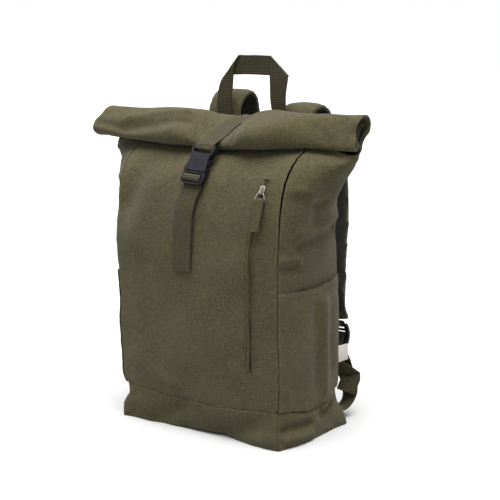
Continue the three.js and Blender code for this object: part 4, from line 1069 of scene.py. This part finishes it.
@dataclass
class FrontZip:
    """The front zip: tape, two lips of folded canvas, teeth, puller and its sewing.

    Attributes:
        finishes: The bag's materials.
        shell: The cloth body that the zip is sewn to.
        lip: The radius of the lips, which lie lip_inset from the middle and lip_in behind the cloth.
        row_inset: How far from the middle the rows of stitches run, and tack_inset past its ends.
        steps: How finely the middle line is read from the coil's parts, and easing how often smoothed.
        ahead: How far in front the cloth is looked for, up to behind.
        tooth: The size of a tooth, which lies tooth_across from the middle and tooth_in behind it.
    """

    finishes: Finishes
    shell: Shell
    lip: float = 1.6 * MM
    lip_inset: float = 3.5 * MM
    tooth_pitch: float = 1.5 * MM
    row_inset: float = 7.0 * MM
    tack_inset: float = 2.5 * MM
    steps: int = 40
    coil_parts: int = 16
    coil_window: float = 0.6
    easing: int = 6
    ahead: float = 0.1
    behind: float = 6 * MM
    tooth: tuple[float, float, float] = (2.6 * MM, 1.3 * MM, 1.2 * MM)
    tooth_radius: float = 0.62
    tooth_across: float = 0.75 * MM
    tooth_in: float = 0.2 * MM
    lip_in: float = 0.5 * MM

    def build(self) -> list[bpy.types.Object]:
        """Builds the zip's pieces."""
        return [self.tape(), self.teeth(), self.puller(), *self.lips(), self.sewing()]

    def centre(self) -> list[Vector]:
        """The middle line of the teeth, from the bottom up."""
        points = [v.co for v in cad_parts["zip_coil"].data.vertices]
        low, high = min(p.z for p in points), max(p.z for p in points)
        window = self.coil_window * (high - low) / self.coil_parts
        made = []
        for i in range(self.steps + 1):
            height = low + (high - low) * i / self.steps
            near = [p for p in points if abs(p.z - height) < window]
            front = min(p.y for p in near)
            made.append(Vector((sum(p.x for p in near) / len(near), front, height)))
        for _ in range(self.easing):
            inner = [(a + b * 2 + c) / 4 for a, b, c in zip(made, made[1:], made[2:])]
            made = [made[0], *inner, made[-1]]
        return made

    def on_cloth(self, across: float) -> list[Vector]:
        """The zip's middle line shifted to the right and laid on the front cloth."""
        skin = self.shell.skins["front_panel"]
        made = []
        for point in self.centre():
            hit = skin.ray_cast(point + Vector((across, -self.ahead, 0)), Vector((0, 1, 0)))[0]
            if hit is not None and hit.y < point.y + self.behind:
                made.append(hit)
        return made

    def tape(self) -> bpy.types.Object:
        """Builds the dark tape behind the slot."""
        solid = Solid.of("zip_tape").quads().creased().smoothed(1).move(self.shell.drape.moved)
        tape = self.finishes.tape
        return publish(solid.weave().mesh, "zip_tape_woven", tape, Slot.ZIP, replaces="zip_tape")

    def teeth(self) -> bpy.types.Object:
        """Builds the two rows of interlocked teeth."""
        mesh = bmesh.new()
        line = spaced([self.shell.drape.moved(p) for p in self.centre()], self.tooth_pitch)
        for index, (low, high) in enumerate(zip(line, line[1:])):
            side = 1 if index % 2 else -1
            along = (high - low).normalized()
            turn = along.to_track_quat("Z", "Y").to_matrix().to_4x4()
            size = Matrix.Diagonal((*self.tooth, 1.0))
            place = Matrix.Translation(low + Vector((side * self.tooth_across, self.tooth_in, 0)))
            shape = place @ turn @ size
            bmesh.ops.create_icosphere(mesh, subdivisions=1, radius=self.tooth_radius, matrix=shape)
        mesh.loops.layers.uv.new(WEAVE_MAP)
        return publish(mesh, "zip_teeth", self.finishes.teeth, Slot.ZIP, replaces="zip_coil")

    def lips(self) -> list[bpy.types.Object]:
        """Builds the rolled canvas edge on each side of the slot."""
        made = []
        for side, word in ((-1, "left"), (1, "right")):
            edge = self.on_cloth(side * self.row_inset)
            shift = Vector((side * (self.row_inset - self.lip_inset), -self.lip_in, 0))
            line = [p - shift for p in edge]
            made.append(piping(line, self.lip, "zip_lip_" + word, self.finishes.canvas))
        return made

    def puller(self) -> bpy.types.Object:
        """Builds the folded cloth tab on the ring."""
        solid = Solid.of("zip_puller").flatten().ease_corners(0.5 * MM, 2)
        bmesh.ops.triangulate(solid.mesh, faces=[f for f in solid.mesh.faces if len(f.verts) > 4])
        mesh, canvas = solid.weave().mesh, self.finishes.canvas
        return publish(mesh, "zip_puller_sewn", canvas, Slot.CANVAS, Body.ZIP_PULL, "zip_puller")

    def sewing(self) -> bpy.types.Object:
        """Sews the zip to the front cloth."""
        rows = Stitching()
        skin = self.shell.skins["front_panel"]
        for side in (-1, 1):
            rows.row(self.on_cloth(side * self.row_inset), skin)
        centre = self.centre()
        for end, past in ((centre[0], -self.tack_inset), (centre[-1], self.tack_inset)):
            tack = [end + Vector((side * self.row_inset, 0.0, past)) for side in (-1, 1)]
            rows.row(tack, skin)
        # The zip's rows use thread darkened with painted shade, for the shadow of stitches sunk in the
        # cloth.
        return rows.publish("zip_stitches", self.finishes.shaded_thread)


@dataclass
class Sewing:
    """The visible rows of stitches on hems, straps and pads.

    Attributes:
        finishes: The bag's materials.
        skins: The skins of the finished cloth, by node.
        hem: How far under its rim the base is sewn, and pocket_hem each pocket.
        selvedge: How far from a strap's edges a row across it ends.
        pad_row: How far from the middle of a pad its rows run.
        far: How far outside the skin is looked from, and near how far out it has to lie.
        corner: How far from its corners a rim's row ends.
        scans: How often a rim is looked for, each time a little lower.
        webbing_rows: The heights of the rows across the front webbing.
        pad_points: How many points a pad's row has, from pad_low up by pad_pitch, in millimetres.
    """

    finishes: Finishes
    skins: dict[str, BVHTree]
    hem: float = 3.0 * MM
    pocket_hem: float = 7.0 * MM
    selvedge: float = 2.2 * MM
    pad_row: float = 23 * MM
    far: float = 400 * MM
    near: float = 50 * MM
    corner: float = 12 * MM
    scans: int = 70
    step: float = 4 * MM
    scan: float = 0.5 * MM
    lower: float = 1.0 * MM
    webbing_rows: tuple[float, float] = (237 * MM, 226 * MM)
    closure_row: float = 388 * MM
    pad_points: int = 28
    pad_low: int = 150
    pad_pitch: int = 9
    pad_window: float = 12 * MM

    def build(self) -> list[bpy.types.Object]:
        """Sews every row."""
        return [self.straps(), self.hems(), self.pads()]

    def cast(self, node: str, place: Vector, way: Vector) -> Vector | None:
        """The point of a node's skin that is met from outside along a way."""
        return self.skins[node].ray_cast(place - way * self.far, way)[0]

    def across(self, node: str, height: float, way: Vector, rows: Stitching) -> None:
        """Sews a row straight across a strap at a height, looked at along a way."""
        low, high = box_of(node)
        steps = round((high.x - low.x) / self.scan)
        places = [Vector((low.x + i * self.scan, 0.0, height)) for i in range(steps + 1)]
        self.lay(node, places, way, rows, round(self.selvedge / self.scan))

    def straps(self) -> bpy.types.Object:
        """Sews the strap ends."""
        rows = Stitching(2.4 * MM, 0.8 * MM, 0.9 * MM, 0.7 * MM)
        back = Vector((0, 1, 0))
        for height in self.webbing_rows:
            self.across("front_webbing", height, back, rows)
        self.across("closure_strap", self.closure_row, back, rows)
        return rows.publish("strap_stitches", self.finishes.thread)

    def rim(self, node: str, along: int, way: Vector, drop: float) -> list[Vector]:
        """A line under a node's upper rim, found by looking at it from outside.

        Args:
            node: The node.
            along: The axis that the rim runs along.
            way: The way in which it is looked at.
            drop: How far under the rim the line runs.

        Returns:
            The line's points.
        """
        low, high = box_of(node)
        count = round((high[along] - low[along] - 2.0 * self.corner) / self.step)
        made = []
        for i in range(count + 1):
            place = Vector((0.0, 0.0, high.z))
            place[along] = low[along] + self.corner + i * self.step
            for _ in range(self.scans):
                found = self.cast(node, place, way)
                if found is not None and found.dot(way) < -self.near:
                    made.append(found - Vector((0.0, 0.0, drop)))
                    break
                place.z -= self.lower
        return made

    def hems(self) -> bpy.types.Object:
        """Sews the pockets' mouths and the base seam."""
        rows = Stitching()
        for side, word in ((1.0, "right"), (-1.0, "left")):
            way = Vector((-side, 0, 0))
            for node, drop in (("side_pocket_" + word, self.pocket_hem), ("base_tray", self.hem)):
                self.lay(node, spaced(self.rim(node, 1, way, drop), self.step), way, rows)
        way = Vector((0, 1, 0))
        self.lay("base_tray", spaced(self.rim("base_tray", 0, way, self.hem), self.step), way, rows)
        return rows.publish("hem_stitches", self.finishes.thread)

    def lay(self, node: str, places: Sequence[Vector], way: Vector, rows: Stitching, inset: int = 0) -> None:
        """Sews a row on a node's skin where it is met from some places, less a few at both ends.

        Args:
            node: The node.
            places: The places, in order.
            way: The way in which the skin is looked at from them.
            rows: The stitching that the row is added to.
            inset: How many places are left out at each end.
        """
        hits = [self.cast(node, place, way) for place in places]
        found = [p for p in hits if p is not None]
        if len(found) > 2 + 4 * inset:
            rows.row(found[inset:len(found) - inset], self.skins[node])

    def pads(self) -> bpy.types.Object:
        """Sews both long edges of the padded straps, on their outer side."""
        rows = Stitching()
        for word in ("right", "left"):
            node = "shoulder_strap_" + word
            points = [v.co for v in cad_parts[node].data.vertices]
            for side in (-1.0, 1.0):
                line = []
                for i in range(self.pad_points):
                    height = (self.pad_low + self.pad_pitch * i) * MM
                    near = [p.x for p in points if abs(p.z - height) < self.pad_window]
                    if near:
                        across = (min(near) + max(near)) / 2 + side * self.pad_row
                        line.append(Vector((across, 0.0, height)))
                self.lay(node, spaced(line, self.step), Vector((0, -1, 0)), rows)
        return rows.publish("pad_stitches", self.finishes.thread)


@dataclass
class SeamLabel:
    """The small blank label in the right-hand back seam."""

    finishes: Finishes
    drape: Drape

    def build(self) -> bpy.types.Object:
        """Builds the folded label."""
        solid = Solid.of("seam_label").flatten().ease_corners(0.4 * MM, 2).move(self.drape.moved)
        satin = self.finishes.label
        return publish(solid.weave().mesh, "blank_label", satin, Slot.LABEL, replaces="seam_label")


@dataclass
class Studio:
    """The pale floor, the soft light and the camera."""

    eye: Vector = field(default_factory=lambda: millimetres(1113.342, -1332.403, 557.878))
    azimuth: float = math.radians(38.958)
    elevation: float = math.radians(10.523)
    roll: float = math.radians(-1.203)
    lens: float = 95.04
    sensor: float = 36.0
    sun_strength: float = 8.4
    sun_width: float = math.radians(50)
    sun_way: Colour = (-0.12, 0.16, -1.0)
    floor_half: float = 8.0
    floor_dull: Colour = (0.35, 0.35, 0.35)
    floor_pale: Colour = (0.37, 0.37, 0.37)

    def build(self) -> None:
        """Builds the floor, the lights, the sky and the camera."""
        self.floor()
        self.sun()
        self.sky()
        self.camera()
        bpy.context.scene.view_settings.view_transform = "Standard"

    def sky(self) -> None:
        """Surrounds the bag with even white."""
        world = bpy.data.worlds.new("white_room")
        world.use_nodes = True
        sky = world.node_tree.nodes["Background"].inputs
        sky["Color"].default_value = (1.0, 1.0, 1.0, 1.0)
        sky["Strength"].default_value = 1.0
        bpy.context.scene.world = world

    def sun(self) -> None:
        """Hangs one wide soft light high over the bag, a little to its left."""
        lamp = bpy.data.lights.new("overhead", "SUN")
        lamp.energy = self.sun_strength
        lamp.angle = self.sun_width
        way = Vector(self.sun_way).to_track_quat("-Z", "Y")
        placed("overhead", lamp).rotation_euler = way.to_euler()

    def floor(self) -> None:
        """Lays a wide pale floor."""
        mesh = bmesh.new()
        bmesh.ops.create_grid(mesh, x_segments=2, y_segments=2, size=self.floor_half)
        data = bpy.data.meshes.new("floor")
        mesh.to_mesh(data)
        mesh.free()
        shader = Shader("pale_floor")
        cloud = shader.mottle(shader.place(), 3.0, 2.0)
        colour = shader.blend(cloud, self.floor_dull, self.floor_pale)
        data.materials.append(shader.finish(colour, 0.9, cloud, 0.01 * MM, {}))
        placed("floor", data)

    def camera(self) -> None:
        """Sets the camera at the photograph's place and angle."""
        a, e = self.azimuth, self.elevation
        ahead = Vector((-math.sin(a) * math.cos(e), math.cos(a) * math.cos(e), -math.sin(e)))
        right = Vector((math.cos(a), math.sin(a), 0.0))
        up = right.cross(ahead)
        cosine, sine = math.cos(self.roll), math.sin(self.roll)
        right, up = right * cosine + up * sine, up * cosine - right * sine
        data = bpy.data.cameras.new("camera")
        data.lens = self.lens
        data.sensor_width = self.sensor
        camera = placed("camera", data)
        turn = Matrix((right, up, -ahead)).transposed().to_4x4()
        camera.matrix_world = Matrix.Translation(self.eye) @ turn
        bpy.context.scene.camera = camera


LEFT_STRENGTH = 0.7

# Each row is a fold's start, its end and its push, three numbers each, and then its width, all in
# millimetres. The side folds are on the right-hand side, and come again on the left a little weaker.
SIDE_FOLDS: tuple[FoldRow, ...] = (
    (147, -38, 276, 131, 60, 286, 3.6, 0, 0, 9),
    (146, -34, 262, 134, 55, 270, -3.4, 0, 0, 9),
    (139, -66, 247, 143, -34, 242, 2.4, -0.6, 0, 5),
    (139, -64, 238, 143, -38, 232, -2.2, 0, 0, 6),
    (144, 18, 178, 139, 22, 62, 3.2, 0, 0, 10),
    (143, -2, 172, 141, 2, 76, -2.0, 0, 0, 12),
    (143, 42, 160, 139, 44, 84, -2.2, 0, 0, 10),
    (133, 50, 46, 138, 22, 39, 3.0, 0, 0, 5),
    (134, 46, 36, 138, 16, 30, -3.0, 0, 0, 7),
    (136, -60, 25, 140, -16, 23, -4.6, 0, 0, 7),
    (138, -56, 10, 140, -12, 11, 2.6, 0, 0, 7),
    (139, 70, 4, 139, 70, 14, 3.4, 4.2, 0, 15),
    (139, 66, 34, 139, 66, 44, -4.0, -2.5, 0, 12),
    (181, -20, 360, 160, -10, 298, -4.0, 0, 0, 15),
    (190, 22, 352, 160, 30, 290, 3.0, 0, 0, 13),
    (150, -50, 332, 168, -10, 322, 2.6, 0, 0, 6),
    (149, -50, 320, 166, -6, 310, -2.8, 0, 0, 7),
    (143, -40, 196, 143, 20, 204, -2.4, 0, 0, 9),
)
FACE_FOLDS: tuple[FoldRow, ...] = (
    (-138, -68, 36, -138, -68, 44, 4, 3.4, 0, 11),
    (-139, -70, 5, -139, -70, 14, -3.6, -1.6, 0, 14),
    (-72, -72, 8, -26, -72, 30, 0, 3.0, 0, 14),
    (-100, -72, 26, -84, -72, 6, 0, -1.8, 0, 12),
    (40, -72, 4, 92, -72, 24, 0, 3.2, 1.2, 13),
    (92, -72, 6, 120, -72, 14, 0, -2.0, 0, 10),
    (-20, -71, 0, 30, -71, 0, 0, 1.2, 2.6, 24),
    (-62, -60, 338, -108, -68, 258, 0, -2.8, 0, 22),
    (-96, -50, 350, -118, -66, 300, 0, 2.6, 0, 16),
    (42, -60, 334, 72, -72, 262, 0, 2.4, 0, 20),
    (-84, -80, 210, -64, -80, 120, 0, 2.2, 0, 26),
    (20, -82, 170, 60, -78, 96, 0, -2.0, 0, 24),
    (-110, -74, 90, -40, -78, 62, 0, -1.8, 0, 12),
    (-42, 67, 330, -52, 69, 120, 0, -3.0, 0, 28),
    (62, 67, 300, 50, 69, 90, 0, -2.6, 0, 24),
    (-48, 62, 362, 4, 66, 286, 0, 2.2, 0, 11),
    (52, 62, 358, 12, 66, 300, 0, 1.8, 0, 9),
)
ROLL_FOLDS: tuple[FoldRow, ...] = (
    (-146, -30, 408, -50, -14, 421, 0, -2.0, 3.0, 6),
    (-150, -39, 396, -44, -31, 409, 0, 3.6, -2.0, 8),
    (-196, -38, 402, -160, -40, 398, 0, 2.8, -1.2, 7),
    (-190, -20, 410, -168, -8, 414, 0, 0.6, -2.6, 7),
    (62, -16, 414, 40, -40, 386, 0, 2.4, -2.2, 7),
    (112, -34, 408, 72, -42, 396, 0, -2.6, 1.4, 17),
    (150, -14, 416, 172, -18, 394, 0, 2.0, -1.6, 7),
    (187, 6, 419, 188, -12, 396, 0, 2.0, -1.6, 3.5),
    (-64, -38, 398, -40, -40, 384, 0, -2.0, 1.0, 12),
    (-30, 40, 414, -120, 44, 408, 0, -2.4, -1.2, 11),
    (70, 40, 414, 150, 36, 412, 0, -2.2, -1.4, 10),
)


def main() -> None:
    """Builds the backpack piece by piece, and then the studio round it."""
    logging.basicConfig(level=logging.INFO, format="%(name)s: %(message)s")
    noise.seed_set(NOISE_SEED)
    finishes = Finishes()
    right = [Fold.of(row) for row in SIDE_FOLDS]
    left = [fold.mirrored(LEFT_STRENGTH) for fold in right]
    folds = (*right, *left, *(Fold.of(row) for row in (*FACE_FOLDS, *ROLL_FOLDS)))
    seams = Lines([chain for node in Shell.SHEETS for chain in Solid.of(node).rims()])
    calms = (
        Calm.round("buckle_socket", "buckle_plug"),
        Calm.round("zip_slider", "zip_ring", "zip_puller"),
        Calm.round("ladder_lock_right"),
        Calm.round("ladder_lock_left"),
    )
    drape = Drape(folds, seams, calms)
    shell = Shell(finishes, drape)
    shell.build()
    roll = Roll(finishes, drape)
    roll.build()
    webbing = Webbing(finishes, drape)
    webbing.build()
    Fittings(finishes).build()
    straps = ShoulderStraps(finishes, drape)
    straps.build()
    FrontZip(finishes, shell).build()
    SeamLabel(finishes, drape).build()
    Sewing(finishes, {**shell.skins, **webbing.skins, **straps.skins}).build()
    Studio().build()


if __name__ == "__main__":
    main()
